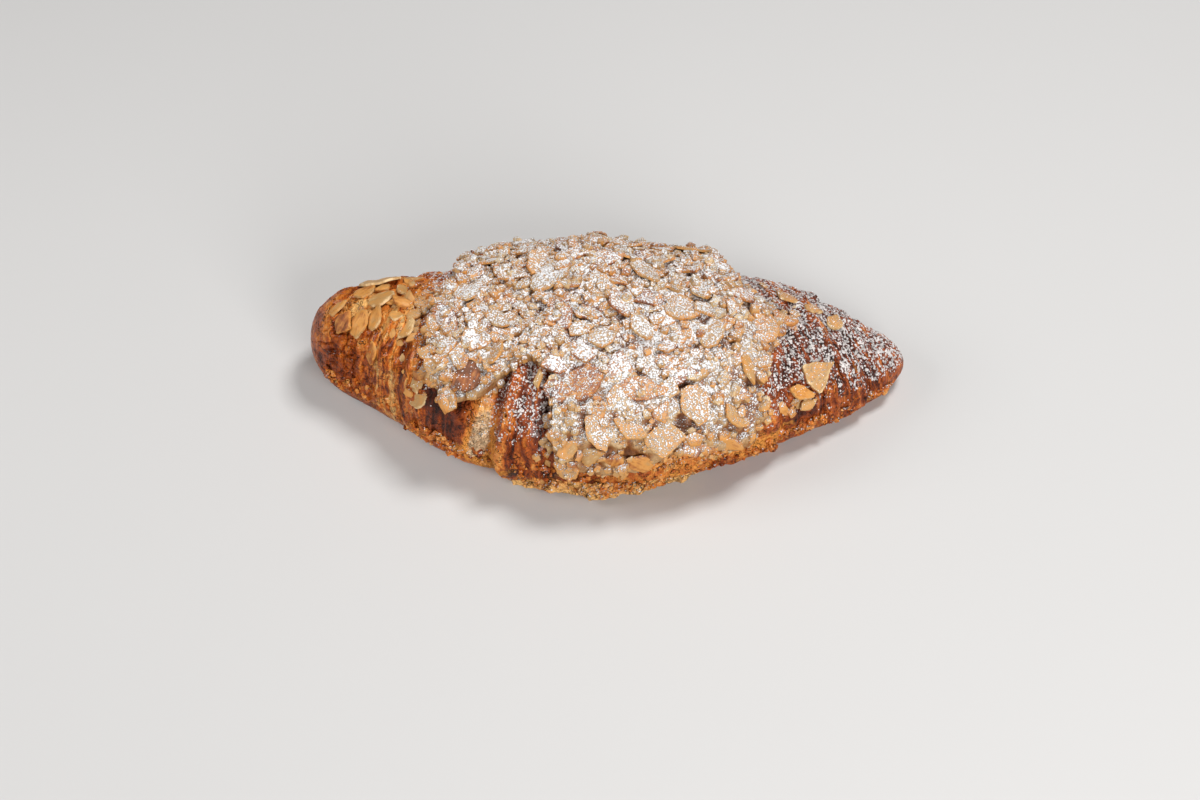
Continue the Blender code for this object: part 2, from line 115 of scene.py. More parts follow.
def station_values(x):
    """Spine y, front reach, back reach and height at x, on a smooth curve through the stations."""
    marks, last = STATIONS[:, 0], len(STATIONS) - 1
    x = np.clip(x, marks[0], marks[-1])
    low = np.clip(np.searchsorted(marks, x) - 1, 0, last - 1)
    high, before, after = low + 1, np.maximum(low - 1, 0), np.minimum(low + 2, last)
    span = marks[high] - marks[low]
    t = (x - marks[low]) / span
    values = []
    for column in STATIONS.T[1:]:
        slope_low = (column[high] - column[before]) / (marks[high] - marks[before]) * span
        slope_high = (column[after] - column[low]) / (marks[after] - marks[low]) * span
        values.append(
            (2 * t**3 - 3 * t**2 + 1) * column[low]
            + (t**3 - 2 * t**2 + t) * slope_low
            + (3 * t**2 - 2 * t**3) * column[high]
            + (t**3 - t**2) * slope_high
        )
    return values


def tip_rounding(x):
    """Share of the section left at x: 1 along the roll, falling to 0 on an ellipse at each tip."""
    cap = np.where(x < 0, LEFT_TIP_CAP, RIGHT_TIP_CAP)
    into = np.clip((abs(x) - (HALF_LENGTH - cap)) / cap, 0.0, 1.0)
    return np.sqrt(1 - into * into)


def winding(ring):
    """How far this ring leans outwards at the front, because the sheet is wound on a slant."""
    marks = [-HALF_LENGTH, *WRAP_EDGES[:, 0], HALF_LENGTH]
    return np.interp(ring, marks, [0.0, *WRAP_EDGES[:, 1], 0.0])


def wrap_relief(ring):
    """Height of the crust over the smooth form, from the steps where each wrap ends."""
    relief = 0.0
    for crest, _, depth in WRAP_EDGES:
        beyond = (ring - crest) * math.copysign(1.0, crest)
        stepped = smooth_step(beyond, -STEP_HALF_WIDTH, STEP_HALF_WIDTH)
        relief = relief - depth * stepped * np.exp(-np.maximum(beyond, 0.0) / STEP_RECOVERY)
        swell = EDGE_SWELL * depth * (1 - stepped)
        relief = relief + swell * np.exp(np.minimum(beyond, 0.0) / SWELL_RUN)
    return relief


def roll_point(ring, angle, relief):
    """Points of the roll, with its skin raised by relief on the top and sides."""
    across, up = np.cos(angle), np.sin(angle)
    x = np.clip(ring - winding(ring) * across, -HALF_LENGTH, HALF_LENGTH)
    spine, front, back, height = station_values(x)
    share = tip_rounding(x)
    lift = TIP_LIFT * smooth_step(abs(x), TIP_LIFT_FROM, HALF_LENGTH)
    middle = WIDEST_AT * height
    fullness = np.where(up >= 0, SIDE_FULLNESS, FOOT_FULLNESS)
    reach = (abs(across) ** fullness + abs(up) ** fullness) ** (-1 / fullness)
    rise = np.where(up >= 0, height - middle, middle * FOOT_DIP)
    relief = relief * smooth_step(up, *RELIEF_FADES)
    y = spine + (np.where(across >= 0, back, front) * reach + relief) * across * share
    z = lift + middle + (rise * reach + relief) * up * share
    return np.stack((x, y, np.maximum(z, 0.0)), axis=-1)


def lumps(points, size, drift=0.0):
    """Smooth noise from -1 to 1 at each point, in lumps of this size."""
    places = np.asarray(points) / size + drift
    values = np.array([noise.noise(place) for place in places.reshape(-1, 3).tolist()])
    return values.reshape(places.shape[:-1])


def streaks(ring, angle, width, length, drift):
    """Noise in long streaks that follow the wraps round the roll."""
    run = angle * STREAK_RADIUS
    return lumps(np.stack((ring / width, run / length, np.full_like(ring, drift)), axis=-1), 1.0)


def crust_point(ring, angle):
    """Points of the pastry node's crust, with its wraps and its unevenness."""
    smooth = roll_point(ring, angle, 0.0)
    relief = wrap_relief(ring) + CRUST_LUMP_HEIGHT * lumps(smooth, CRUST_LUMP)
    return roll_point(ring, angle, relief)


def axes_at(ring, angle):
    """Unit vectors at a place on the roll: along it, round it and out of it."""
    step, turn = 0.0005, 0.01
    along = roll_point(ring + step, angle, 0.0) - roll_point(ring - step, angle, 0.0)
    around = roll_point(ring, angle + turn, 0.0) - roll_point(ring, angle - turn, 0.0)
    outward = np.cross(around, along)
    outward /= np.linalg.norm(outward, axis=-1, keepdims=True)
    along /= np.linalg.norm(along, axis=-1, keepdims=True)
    return along, np.cross(outward, along), outward


def spread(ring, angle, spots):
    """Sum of soft spots, each given by its ring, degrees, reach along, reach round and amount."""
    total = 0.0
    for spot_ring, degrees, along, around, amount in spots:
        away = ((ring - spot_ring) / along) ** 2 + ((np.degrees(angle) - degrees) / around) ** 2
        total = total + amount * np.exp(-away)
    return total


def pole_row_and_turn(shape, rows):
    """Row from the south pole, and share of a turn, of the corners of a unit sphere."""
    corners = np.array([corner.co[:] for corner in shape.verts])
    row = np.rint((1 - np.arccos(np.clip(corners[:, 2], -1, 1)) / math.pi) * rows)
    return row, (np.arctan2(corners[:, 1], corners[:, 0]) / math.tau) % 1.0


# Spots of the skin, each with its ring, degrees, reach along, reach round and strength: where it is
# stretched into streaks, where it is wrinkled, and where the open crumb shows
STRETCHED = (
    (-0.0640, 150, 0.0080, 90, 1.0),
    (0.0720, 110, 0.0240, 80, 1.0),
    (-0.0155, 160, 0.0090, 60, 0.9),
    (-0.0860, 90, 0.0140, 200, 0.35),
    (-0.0430, 165, 0.0120, 50, 0.35),
)
WRINKLED = (
    (-0.0880, 150, 0.0140, 46, 1.0),
    (-0.0900, 60, 0.0120, 50, 0.5),
    (0.0560, 150, 0.0100, 30, 0.7),
    (0.0850, 60, 0.0160, 60, 0.4),
)
CRUMBLY = (
    (-0.0278, 173, 0.0062, 30, 1.15),
    (-0.0400, 188, 0.0160, 9, 0.50),
    (0.0420, 180, 0.0120, 14, 0.6),
    (0.0160, 188, 0.0240, 12, 0.4),
    (0.0200, 174, 0.0120, 9, 0.6),
)
FOOT_BAND = (182, 200)
FOOT_CRUMBLY = 0.35

# Ridges and grooves that follow the wraps at the front: ring, half width and height
RIDGES = (
    (-0.0215, 0.0022, 0.0010),
    (-0.0180, 0.0008, -0.0006),
    (-0.0150, 0.0017, 0.0006),
    (-0.0108, 0.0012, -0.0007),
    (0.0530, 0.0012, -0.0008),
    (0.0610, 0.0014, -0.0010),
    (0.0690, 0.0012, -0.0007),
    (-0.0800, 0.0012, -0.0006),
)
RIDGES_FROM = (96, 124)

# Relief of the skin: its height, then the width and length of its streaks or the size of its lumps,
# and a drift that sets each noise apart from the others
LONG_STREAKS = (0.00130, 0.0030, 0.034, 3.0)
FINE_STREAKS = (0.00105, 0.0015, 0.018, 8.0)
STREAKED_ANYWAY = 0.25
BLISTERS = ((0.00090, 0.0065, 11.0), (0.00060, 0.0028, 17.0))
CRUMB_RELIEF = (0.00150, 0.0024, 29.0)

# Wrinkles: depth, how much of the noise they take up, then its size or sizes and its drift
LONG_WRINKLES = (0.0052, 0.32, 0.0044, 0.0110, 23.0)
SHORT_WRINKLES = (0.0026, 0.30, 0.0036, 31.0)


def crumbliness(ring, angle):
    """How far the open crumb shows: in the front valley and along the torn foot."""
    band = smooth_step(np.degrees(angle), *FOOT_BAND) * FOOT_CRUMBLY
    return np.clip(spread(ring, angle, CRUMBLY) + band, 0.0, 1.0)


def creases(values, width):
    """Creases where a noise passes through 0: width at their middle and 0 beside them."""
    return np.maximum(0.0, width - abs(values) * 2.0)


def skin_detail(ring, angle, smooth):
    """Fine relief of the skin over the node's crust."""
    stretched = np.clip(spread(ring, angle, STRETCHED), 0.0, 1.0)
    wrinkled = np.clip(spread(ring, angle, WRINKLED), 0.0, 1.0)
    height, *streak = LONG_STREAKS
    relief = stretched * height * streaks(ring, angle, *streak)
    height, *streak = FINE_STREAKS
    relief += (STREAKED_ANYWAY + stretched) * height * streaks(ring, angle, *streak)
    relief += sum(height * lumps(smooth, size, drift) for height, size, drift in BLISTERS)
    depth, width, *streak = LONG_WRINKLES
    relief -= wrinkled * depth * creases(streaks(ring, angle, *streak), width)
    depth, width, *lump = SHORT_WRINKLES
    relief -= wrinkled * depth * creases(lumps(smooth, *lump), width)
    height, *lump = CRUMB_RELIEF
    relief += crumbliness(ring, angle) * height * lumps(smooth, *lump)
    fade = smooth_step(np.degrees(angle), *RIDGES_FROM)
    for crest, half_width, height in RIDGES:
        relief += fade * height * np.exp(-(((ring - crest) / half_width) ** 2))
    return relief


def ring_marks():
    """Rings from tip to tip, closing up towards each tip as its end rounds off."""
    quarter = 1 - np.cos(np.linspace(0, math.pi / 2, TIP_STEPS + 1))
    left = -HALF_LENGTH + LEFT_TIP_CAP * quarter
    right = HALF_LENGTH - RIGHT_TIP_CAP * quarter[::-1]
    between = np.linspace(left[-1], right[0], ALONG_STEPS - 2 * TIP_STEPS + 1)
    return np.concatenate((left, between[1:-1], right))


def unequal_turn(turn):
    """Angle for a share of a turn, with the underside's share made small."""
    hidden = UNDERSIDE[1] - UNDERSIDE[0]
    seen = math.tau - hidden
    on_top = (UNDERSIDE[1] - math.tau) + turn / (1 - UNDERSIDE_SHARE) * seen
    below = UNDERSIDE[0] + (turn - (1 - UNDERSIDE_SHARE)) / UNDERSIDE_SHARE * hidden
    return np.where(turn < 1 - UNDERSIDE_SHARE, on_top, below)


# Icing sugar falls straight down: heavy over the middle, thin on the right, none on the left tip
SUGAR_FROM = (-0.070, -0.050)
SUGAR_THINS = (0.036, 0.060)
SUGAR_THINNED = 0.72
SUGAR_ON_SLOPES = (0.08, 0.76)

# Where more of it fell, or less: x, y, radius and how much
SUGAR_DRIFTS = (
    (-0.042, -0.010, 0.016, 0.06),
    (-0.026, -0.008, 0.012, 0.12),
    (0.000, -0.014, 0.018, 0.08),
    (0.012, -0.026, 0.010, 0.08),
    (0.028, 0.002, 0.014, 0.04),
    (-0.050, -0.030, 0.012, -0.20),
    (-0.008, -0.038, 0.012, -0.20),
    (-0.026, -0.047, 0.006, -0.80),
    (0.018, -0.046, 0.016, -0.30),
    (0.046, -0.016, 0.014, -0.10),
)


def dusting(points, normals):
    """How thickly icing sugar lies at each point, from 0 to 1."""
    x, y = points[:, 0], points[:, 1]
    fallen = smooth_step(x, *SUGAR_FROM) * (1 - (1 - SUGAR_THINNED) * smooth_step(x, *SUGAR_THINS))
    for middle_x, middle_y, radius, amount in SUGAR_DRIFTS:
        away = ((x - middle_x) ** 2 + (y - middle_y) ** 2) / radius**2
        fallen = fallen + amount * np.exp(-away) * (fallen > 0)
    return np.clip(fallen * smooth_step(normals[:, 2], *SUGAR_ON_SLOPES), 0.0, 1.0)


class Socket:
    """A socket of a finish. Arithmetic on it adds Math nodes."""

    def __init__(self, finish, link):
        self.finish = finish
        self.link = link

    def math(self, operation, first, second):
        return self.finish.node("ShaderNodeMath", {"operation": operation}, {0: first, 1: second})

    def __add__(self, other):
        return self.math("ADD", self, other)

    def __sub__(self, other):
        return self.math("SUBTRACT", self, other)

    def __rsub__(self, other):
        return self.math("SUBTRACT", other, self)

    def __mul__(self, other):
        return self.math("MULTIPLY", self, other)

    def __pow__(self, other):
        return self.math("POWER", self, other)

    def over(self, other):
        return self.math("MAXIMUM", self, other)

    __radd__ = __add__
    __rmul__ = __mul__


class Finish:
    """A material that is being made from shader nodes."""

    def __init__(self, name, **constants):
        self.material = bpy.data.materials.new(name)
        self.material.use_nodes = True
        self.tree = self.material.node_tree
        self.shader = self.tree.nodes["Principled BSDF"]
        self.feed(constants)
        self.place = self.node("ShaderNodeTexCoord", output="Object")

    def feed(self, values, node=None):
        """Gives sockets of a node, or of the shader, their value or link."""
        inputs = (node or self.shader).inputs
        for name, value in values.items():
            socket = inputs[name if isinstance(name, int) else name.replace("_", " ")]
            if isinstance(value, Socket):
                self.tree.links.new(value.link, socket)
            else:
                socket.default_value = value

    def node(self, kind, settings=None, values=None, output=0):
        """Adds a node, with its settings first and then its values, and returns one output."""
        made = self.tree.nodes.new(kind)
        for name, value in (settings or {}).items():
            if name == "stops":
                ramp = made.color_ramp.elements
                while len(ramp) < len(value):
                    ramp.new(1.0)
                for element, (position, colour) in zip(ramp, value):
                    element.position = position
                    element.color = (*colour, 1)
            else:
                setattr(made, name, value)
        self.feed(values or {}, made)
        return Socket(self, made.outputs[output])

    def layer(self, name, output="Fac"):
        """A number, or with output Vector three, kept for every corner."""
        return self.node("ShaderNodeAttribute", {"attribute_name": name}, output=output)

    def noise(self, size, place=None, detail=2.0, rough=0.5):
        """Noise from -0.5 to 0.5, in grains of this size in metres."""
        values = {"Vector": place or self.place, "Scale": 1 / size}
        values.update(Detail=detail, Roughness=rough)
        return self.node("ShaderNodeTexNoise", None, values) - 0.5

    def specks(self, size):
        """Distance to the nearest of points scattered this far apart, counted in that size."""
        values = {"Vector": self.place, "Scale": 1 / size}
        return self.node("ShaderNodeTexVoronoi", None, values)

    def stretched(self, place, scale):
        """The place with each of its axes scaled."""
        return self.node("ShaderNodeVectorMath", {"operation": "MULTIPLY"}, {0: place, 1: scale})

    def shaken(self, place, size, amount):
        """The place moved about by noise in grains of this size, by amount along each axis."""
        values = {"Vector": self.place, "Scale": 1 / size}
        push = self.node("ShaderNodeTexNoise", None, values, output="Color")
        values = {0: place, 1: self.stretched(push, amount)}
        return self.node("ShaderNodeVectorMath", {"operation": "ADD"}, values)

    def rise(self, value, low, high):
        """0 below low, 1 above high and a smooth rise between."""
        values = {"Value": value, "From_Min": low, "From_Max": high}
        return self.node("ShaderNodeMapRange", {"interpolation_type": "SMOOTHSTEP"}, values)

    def ramp(self, value, stops):
        """A colour read from stops by a number from 0 to 1."""
        return self.node("ShaderNodeValToRGB", {"stops": stops}, {0: value})

    def mix(self, share, first, second):
        """Colours mixed by share; 0, 6 and 7 are the Mix node's colour sockets and 2 its result."""
        first, second = ((*c, 1) if isinstance(c, tuple) else c for c in (first, second))
        values = {0: share, 6: first, 7: second}
        return self.node("ShaderNodeMix", {"data_type": "RGBA"}, values, output=2)

    def bump(self, *heights):
        """A normal roughened by pairs of height and its distance in metres, one after another."""
        normal = None
        for height, distance in heights:
            values = {"Height": height, "Distance": distance}
            if normal:
                values["Normal"] = normal
            normal = self.node("ShaderNodeBump", None, values)
        return normal


SUGAR_WHITE = (0.94, 0.94, 0.95)
SUGAR_ON_GLAZE = (0.97, 0.90, 0.87)

# How unevenly sugar lies, in specks, grains and clumps, which fade where little of it fell, and
# how thick it has to lie to show, and to what share it covers then
SPECKED = 2.2
GRAINY = 1.8
CLUMPED = 0.6
SUGAR_CLUMP = 0.0045
SPECKS_FROM = 0.35
DRIFTS_FROM = 0.3
SUGAR_SHOWS = 0.75
SUGAR_COVERS = 0.95


def sugared(finish, size, soft, veil, drifts=0.0):
    """Share of the surface hidden by icing sugar: specks that run together, over a thin veil."""
    fallen = finish.layer("sugar")
    held = fallen + finish.rise(fallen, 0.0, DRIFTS_FROM) * drifts
    grain = (0.5 - finish.specks(size)) * SPECKED + finish.noise(size * 2) * GRAINY
    grain = (grain + finish.noise(SUGAR_CLUMP) * CLUMPED) * finish.rise(fallen, 0.0, SPECKS_FROM)
    shown = finish.rise(held + grain, SUGAR_SHOWS - soft, SUGAR_SHOWS + soft)
    return shown * (SUGAR_COVERS - veil) + fallen * veil


CRUST_STOPS = (
    (0.00, (0.940, 0.510, 0.165)),
    (0.28, (0.780, 0.240, 0.035)),
    (0.52, (0.480, 0.096, 0.011)),
    (0.76, (0.200, 0.033, 0.007)),
    (1.00, (0.050, 0.011, 0.005)),
)
CRUMB_PALE = (0.78, 0.53, 0.31)
CRUMB_GOLDEN = (0.92, 0.37, 0.075)
CRUMB_PORE_SHADE = (0.52, 0.17, 0.035)
CRUMB_TURNS_GOLDEN = (0.16, 0.34)
PORES_SHADED = (-0.30, 0.02)
TORN_RAGGEDNESS = 1.3
TORN = (0.34, 0.80)

# How far each kind of unevenness shifts the browning
PATCHY = 1.15
SPECKLED = 0.55
FINELY_STREAKED = 1.8
BROADLY_STREAKED = 1.6
STREAKED_AT_LEAST = 0.12

# The sugar on it, its specks, softness and veil, how far it lies in streaks, and the gloss
CRUST_SUGAR = (0.0009, 0.10, 0.04)
SUGAR_STREAKED = 2.2
CRUST_ROUGHNESS = 0.46
EGG_WASH = 0.28


def crust_finish(name):
    """Baked crust: browned unevenly, glossy with egg wash, with open crumb where it is torn."""
    finish = Finish(name, Metallic=0.0, Specular_IOR_Level=0.1, Coat_Roughness=0.16)
    grain = finish.layer("grain", output="Vector")
    grain = finish.shaken(grain, 0.012, (0.006, 0.0, 0.0))
    long_grain = finish.stretched(grain, (1.0, 0.10, 1.0))
    fine_streaks = finish.noise(0.0011, long_grain, detail=3.0)
    broad_streaks = finish.noise(0.0034, long_grain, detail=2.0)
    patches = finish.noise(0.0090, detail=4.0, rough=0.65)
    specks = finish.noise(0.0015, detail=3.0, rough=0.6)
    blisters = finish.rise(finish.noise(0.0030), 0.03, 0.16)
    stretch = finish.layer("stretch")
    # The browning layer read here also carries painted shade from the roll's steps and creases and
    # the lip's hollows
    baked_and_shaded = finish.layer("bake") + patches * PATCHY + specks * SPECKLED
    streaked = fine_streaks * FINELY_STREAKED + broad_streaks * BROADLY_STREAKED
    baked_and_shaded = baked_and_shaded + streaked * (stretch + STREAKED_AT_LEAST)
    colour = finish.ramp(baked_and_shaded, CRUST_STOPS)
    ragged = finish.noise(0.0028, detail=4.0) * TORN_RAGGEDNESS
    torn = finish.rise(finish.layer("crumb") + ragged, *TORN)
    pores = finish.noise(0.0010, detail=2.0)
    golden = finish.rise(finish.layer("bake"), *CRUMB_TURNS_GOLDEN)
    crumb_colour = finish.mix(golden, CRUMB_PALE, CRUMB_GOLDEN)
    # Painted shade: the open crumb is coloured darker in its pores, where the bump sinks it
    out_of_pores = finish.rise(pores + patches * 0.6, *PORES_SHADED)
    colour = finish.mix(torn, colour, finish.mix(out_of_pores, CRUMB_PORE_SHADE, crumb_colour))
    drifts = (broad_streaks * SUGAR_STREAKED + fine_streaks * SUGAR_STREAKED) * (stretch + 0.1)
    sugar = sugared(finish, *CRUST_SUGAR, drifts)
    dull = torn.over(sugar)
    finish.feed({
        "Base Color": finish.mix(sugar, colour, SUGAR_ON_GLAZE),
        "Roughness": dull * 0.40 + (patches * 0.3 + CRUST_ROUGHNESS),
        "Coat Weight": (1 - dull) * EGG_WASH,
        "Normal": finish.bump(
            (fine_streaks * (stretch + 0.3), 0.0028),
            (blisters, 0.0008),
            (specks, 0.0022),
            (pores * torn, 0.0016),
            (sugar, 0.0008),
        ),
    })
    return finish


# Edges of the pieces sharper than this stay sharp. The grounds are what bits and sugar fall on.
SHARP_ANGLE = math.radians(50)
grounds = {}


def new_piece(name, mesh, points, finish, slot, node, dust=1.0, **layers):
    """Moves a mesh's corners to points, keeps numbers for them, and sets it on the croissant."""
    mesh.name = name
    mesh.vertices.foreach_set("co", points.ravel())
    shape = bmesh.new()
    shape.from_mesh(mesh)
    if shape.calc_volume(signed=True) < 0:
        mesh.flip_normals()
    grounds[name] = BVHTree.FromBMesh(shape)
    shape.free()
    mesh.shade_smooth()
    mesh.set_sharp_from_angle(angle=SHARP_ANGLE)
    mesh.update()
    normals = np.empty(len(points) * 3)
    mesh.vertex_normals.foreach_get("vector", normals)
    layers["sugar"] = dust * dusting(points, normals.reshape(-1, 3))
    for layer, values in layers.items():
        kind, part = ("FLOAT_VECTOR", "vector") if np.ndim(values) == 2 else ("FLOAT", "value")
        mesh.attributes.new(layer, kind, "POINT").data.foreach_set(part, np.ravel(values))
    mesh.materials.append(finish.material)
    piece = bpy.data.objects.new(name, mesh)
    bpy.context.scene.collection.objects.link(piece)
    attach(piece, "root")
    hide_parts(node)


def mesh_of(shape):
    """The mesh of a finished shape."""
    mesh = bpy.data.meshes.new("piece")
    shape.to_mesh(mesh)
    shape.free()
    return mesh


# How brown it is baked, from 0 for pale dough to 1 for nearly black, and where that is more or
# less: ring, degrees, reach along, reach round and amount
BAKED = 0.51
BROWNED = (
    (-0.0880, 156, 0.0130, 34, 0.12),
    (-0.0820, 100, 0.0120, 40, -0.42),
    (-0.0640, 150, 0.0065, 90, -0.36),
    (-0.0460, 150, 0.0120, 34, 0.26),
    (-0.0390, 145, 0.0070, 34, 0.34),
    (-0.0274, 170, 0.0068, 42, -0.72),
    (-0.0262, 146, 0.0030, 20, -0.24),
    # This spot darkens the crevice above the lip: partly its brown crust, partly painted shade
    (-0.0100, 194, 0.0200, 10, 0.35),
    (-0.0180, 178, 0.0070, 14, -0.14),
    (-0.0190, 150, 0.0050, 50, 0.26),
    (-0.0228, 148, 0.0030, 60, 0.34),
    (0.0200, 174, 0.0120, 9, -0.26),
    (-0.0122, 150, 0.0030, 20, 0.42),
    (0.0660, 110, 0.0190, 50, 0.30),
    (0.0860, 90, 0.0150, 70, 0.16),
)
PALE_FOOT = (174, 194)
FOOT_PALER = 0.02

# Share of the falling sugar that each ring of the crust holds
CRUST_DUST = (
    (-0.0680, 0.40),
    (-0.0600, 0.85),
    (-0.0530, 0.80),
    (-0.0470, 0.30),
    (-0.0390, 0.14),
    (-0.0310, 0.14),
    (-0.0260, 0.40),
    (-0.0235, 0.62),
    (-0.0190, 0.56),
    (-0.0175, 0.50),
    (-0.0140, 0.85),
    (-0.0100, 0.60),
    (0.0400, 0.75),
    (0.0600, 0.92),
    (0.1000, 1.15),
)
# Painted shade and light from the relief: the crust is coloured darker below each wrap's step and
# in the skin's creases, and lighter on its ridges. DETAIL_SHARE weighs the fine relief in it.
RELIEF_PAINTED_SHADE = 40.0
DETAIL_SHARE = 2

shape = bmesh.new()
bmesh.ops.create_uvsphere(shape, u_segments=ROUND_STEPS, v_segments=ALONG_STEPS, radius=1.0)
row, turn = pole_row_and_turn(shape, ALONG_STEPS)
ring, angle = ring_marks()[row.astype(int)], unequal_turn(turn)
smooth = roll_point(ring, angle, 0.0)
steps, detail = wrap_relief(ring), skin_detail(ring, angle, smooth)
relief = steps + CRUST_LUMP_HEIGHT * lumps(smooth, CRUST_LUMP) + detail
points = roll_point(ring, angle, relief)
# Painted shade below the steps and in the creases, and painted light on the ridges, taken into the
# browning
painted_relief_shade = (steps + DETAIL_SHARE * detail) * RELIEF_PAINTED_SHADE
foot = smooth_step(np.degrees(angle), *PALE_FOOT)
new_piece(
    "rolled_crust", mesh_of(shape), points, crust_finish("baked_crust"), "crust", "pastry",
    dust=np.interp(ring, *zip(*CRUST_DUST)),
    bake=BAKED + spread(ring, angle, BROWNED) - painted_relief_shade - FOOT_PALER * foot,
    stretch=np.clip(spread(ring, angle, STRETCHED), 0.0, 1.0),
    crumb=crumbliness(ring, angle),
    grain=np.stack((ring, angle * STREAK_RADIUS, np.zeros_like(ring)), axis=-1),
)

# ---------------------------------------------------------------- the lip
# The foot of the middle wrap, pressed out at the front while it baked: a rough, caramelised edge,
# thicker to the right. It is a sphere drawn out along the foot, sunk into the roll behind it.

LIP_FROM = -0.0345
LIP_TO = 0.0470
LIP_HALF_WIDTH = 0.0110
LIP_HALF_HEIGHT = 0.0033
LIP_BEYOND_SIDE_LEFT = 0.0024
LIP_BEYOND_SIDE_RIGHT = -0.0024
LIP_RISE = 0.0028
LIP_RISE_FROM = 0.004
LIP_RISE_RUN = 0.015
LIP_END_FULLNESS = 0.35
LIP_LUMP = 0.006
LIP_LUMP_HEIGHT = 0.0008
LIP_STEPS = 240
LIP_SIDES = 72
LIP_CRAGS = ((0.0055, 0.0030), (0.0028, 0.0012), (0.0014, 0.0006))
LIP_CRAG_DRIFT = 37.0
LIP_CRUMB = 0.16
LIP_DUST = 0.4

# Its browning: all over, in patches, and less on the right, with painted light on its crags and
# painted shade in the hollows between them
LIP_BAKED = -0.06
LIP_PATCHED = 0.50
LIP_PATCHES = (0.008, 41.0)
LIP_CRAG_LIGHT_AND_SHADE = 50
LIP_RIGHT_PALER = 0.14
LIP_RIGHT = (0.000, 0.025)

shape = bmesh.new()
bmesh.ops.create_uvsphere(shape, u_segments=LIP_SIDES, v_segments=LIP_STEPS, radius=1.0)
row, turn = pole_row_and_turn(shape, LIP_STEPS)
share = row / LIP_STEPS
x = LIP_FROM + share * (LIP_TO - LIP_FROM)
spine, front, _, _ = station_values(x)
end = np.sin(math.pi * share).clip(0.0) ** LIP_END_FULLNESS
beyond = LIP_BEYOND_SIDE_LEFT + share * (LIP_BEYOND_SIDE_RIGHT - LIP_BEYOND_SIDE_LEFT)
beyond += LIP_LUMP_HEIGHT * lumps(np.stack((x / LIP_LUMP, 0 * x, 0 * x), axis=-1), 1.0)
risen = smooth_step(x, LIP_RISE_FROM, LIP_RISE_FROM + LIP_RISE_RUN)
half_height = LIP_HALF_HEIGHT + LIP_RISE * risen
across, up = end * np.cos(turn * math.tau), end * np.sin(turn * math.tau)
y = spine - front - beyond + LIP_HALF_WIDTH * (1 + across)
points = np.stack((x, y, half_height * (1 + up)), axis=-1)
crags = sum(height * lumps(points, size, LIP_CRAG_DRIFT) for size, height in LIP_CRAGS)
points[:, 1] += crags * across
points[:, 2] = np.maximum(points[:, 2] + crags * np.maximum(up, 0.0), 0.0)
# Painted light on the crags and painted shade in the hollows between them, with the browning
baked_and_shaded = LIP_BAKED + LIP_PATCHED * lumps(points, *LIP_PATCHES) - LIP_CRAG_LIGHT_AND_SHADE * crags
new_piece(
    "front_lip", mesh_of(shape), points, crust_finish("caramelised_lip"), "crust", "pastry",
    dust=LIP_DUST,
    bake=baked_and_shaded - LIP_RIGHT_PALER * smooth_step(x, *LIP_RIGHT),
    stretch=np.zeros_like(x),
    crumb=np.full_like(x, LIP_CRUMB),
    grain=points,
)

# ---------------------------------------------------------------- sliced almonds on the crust
# Thin slices cut along blanched almonds, toasted on the crust at both ends. Each is a grid bent to
# a pointed oval, cut straight where the slice snapped, thickened and laid at its place.

SLICE_THICKNESS = 0.0012
SLICE_SUNK = 0.0004
SLICE_TAPER = 0.35
SLICE_ANGULAR = 0.70
SLICE_CELLS = 13
SLICE_WAVE = 0.00045
SLICE_WAVE_SIZE = 0.004
SLICE_BEND = 0.0006
SNAPPED_AT = (0.55, 0.85)
SNAP_SEED = 3
NAMED_DRIFT = 10.0

# Its rim: how far it thins below and above, and how bare of sugar it is, both close to the edge
RIM_THIN = (0.15, 0.22)
RIM_THINS = 5
RIM_BARE = 0.6
RIM_BARES = 8

# Its ragged outline: how far, the size of the notches, and the share and size of the finer ones
SLICE_RAGGED = 0.10
NOTCHES = 2.2
FINE_RAGGED = 0.6
FINE_NOTCHES = 0.3

# The slices: ring, degrees, length, width, yaw, tilt, toast, share of the sugar and corners
CRUST_FLAKES = (
    (-0.0895, 102, 0.0080, 0.0050, 37, 20, 0.55, 0.0, 5),
    (-0.0860, 120, 0.0090, 0.0088, 62, 8, 0.84, 0.0, 4),
    (-0.0795, 117, 0.0110, 0.0070, 85, 10, 0.62, 0.0, 12),
    (-0.0742, 110, 0.0095, 0.0055, 95, 18, 0.58, 0.0, 12),
    (-0.0755, 88, 0.0095, 0.0085, 33, 14, 0.40, 0.0, 12),
    (-0.0825, 76, 0.0085, 0.0075, 53, 8, 0.66, 0.0, 7),
    (-0.0805, 57, 0.0170, 0.0095, -12, 5, 0.35, 0.0, 12),
    (-0.0700, 55, 0.0085, 0.0065, -20, 12, 0.45, 0.0, 5),
    (-0.0700, 76, 0.0080, 0.0060, -51, 20, 0.38, 0.1, 5),
    (-0.0672, 106, 0.0055, 0.0052, 14, 12, 0.50, 0.1, 4),
    (-0.0715, 142, 0.0090, 0.0052, 86, 10, 0.78, 0.0, 4),
    (-0.0625, 112, 0.0090, 0.0062, 90, 14, 0.36, 0.1, 5),
    (-0.0520, 158, 0.0095, 0.0055, 41, 12, 0.34, 0.1, 5),
    (0.0620, 135, 0.0155, 0.0130, 22, 6, 0.38, 0.35, 3),
    (0.0765, 88, 0.0085, 0.0065, 67, 12, 0.48, 0.3, 5),
    (0.0710, 78, 0.0075, 0.0060, -16, 14, 0.50, 0.4, 5),
    (0.0650, 66, 0.0095, 0.0075, -25, 12, 0.55, 0.4, 6),
    (0.0545, 148, 0.0110, 0.0055, -25, 24, 0.62, 0.1, 5),
    (0.0560, 160, 0.0075, 0.0045, 10, 20, 0.42, 0.2, 4),
)


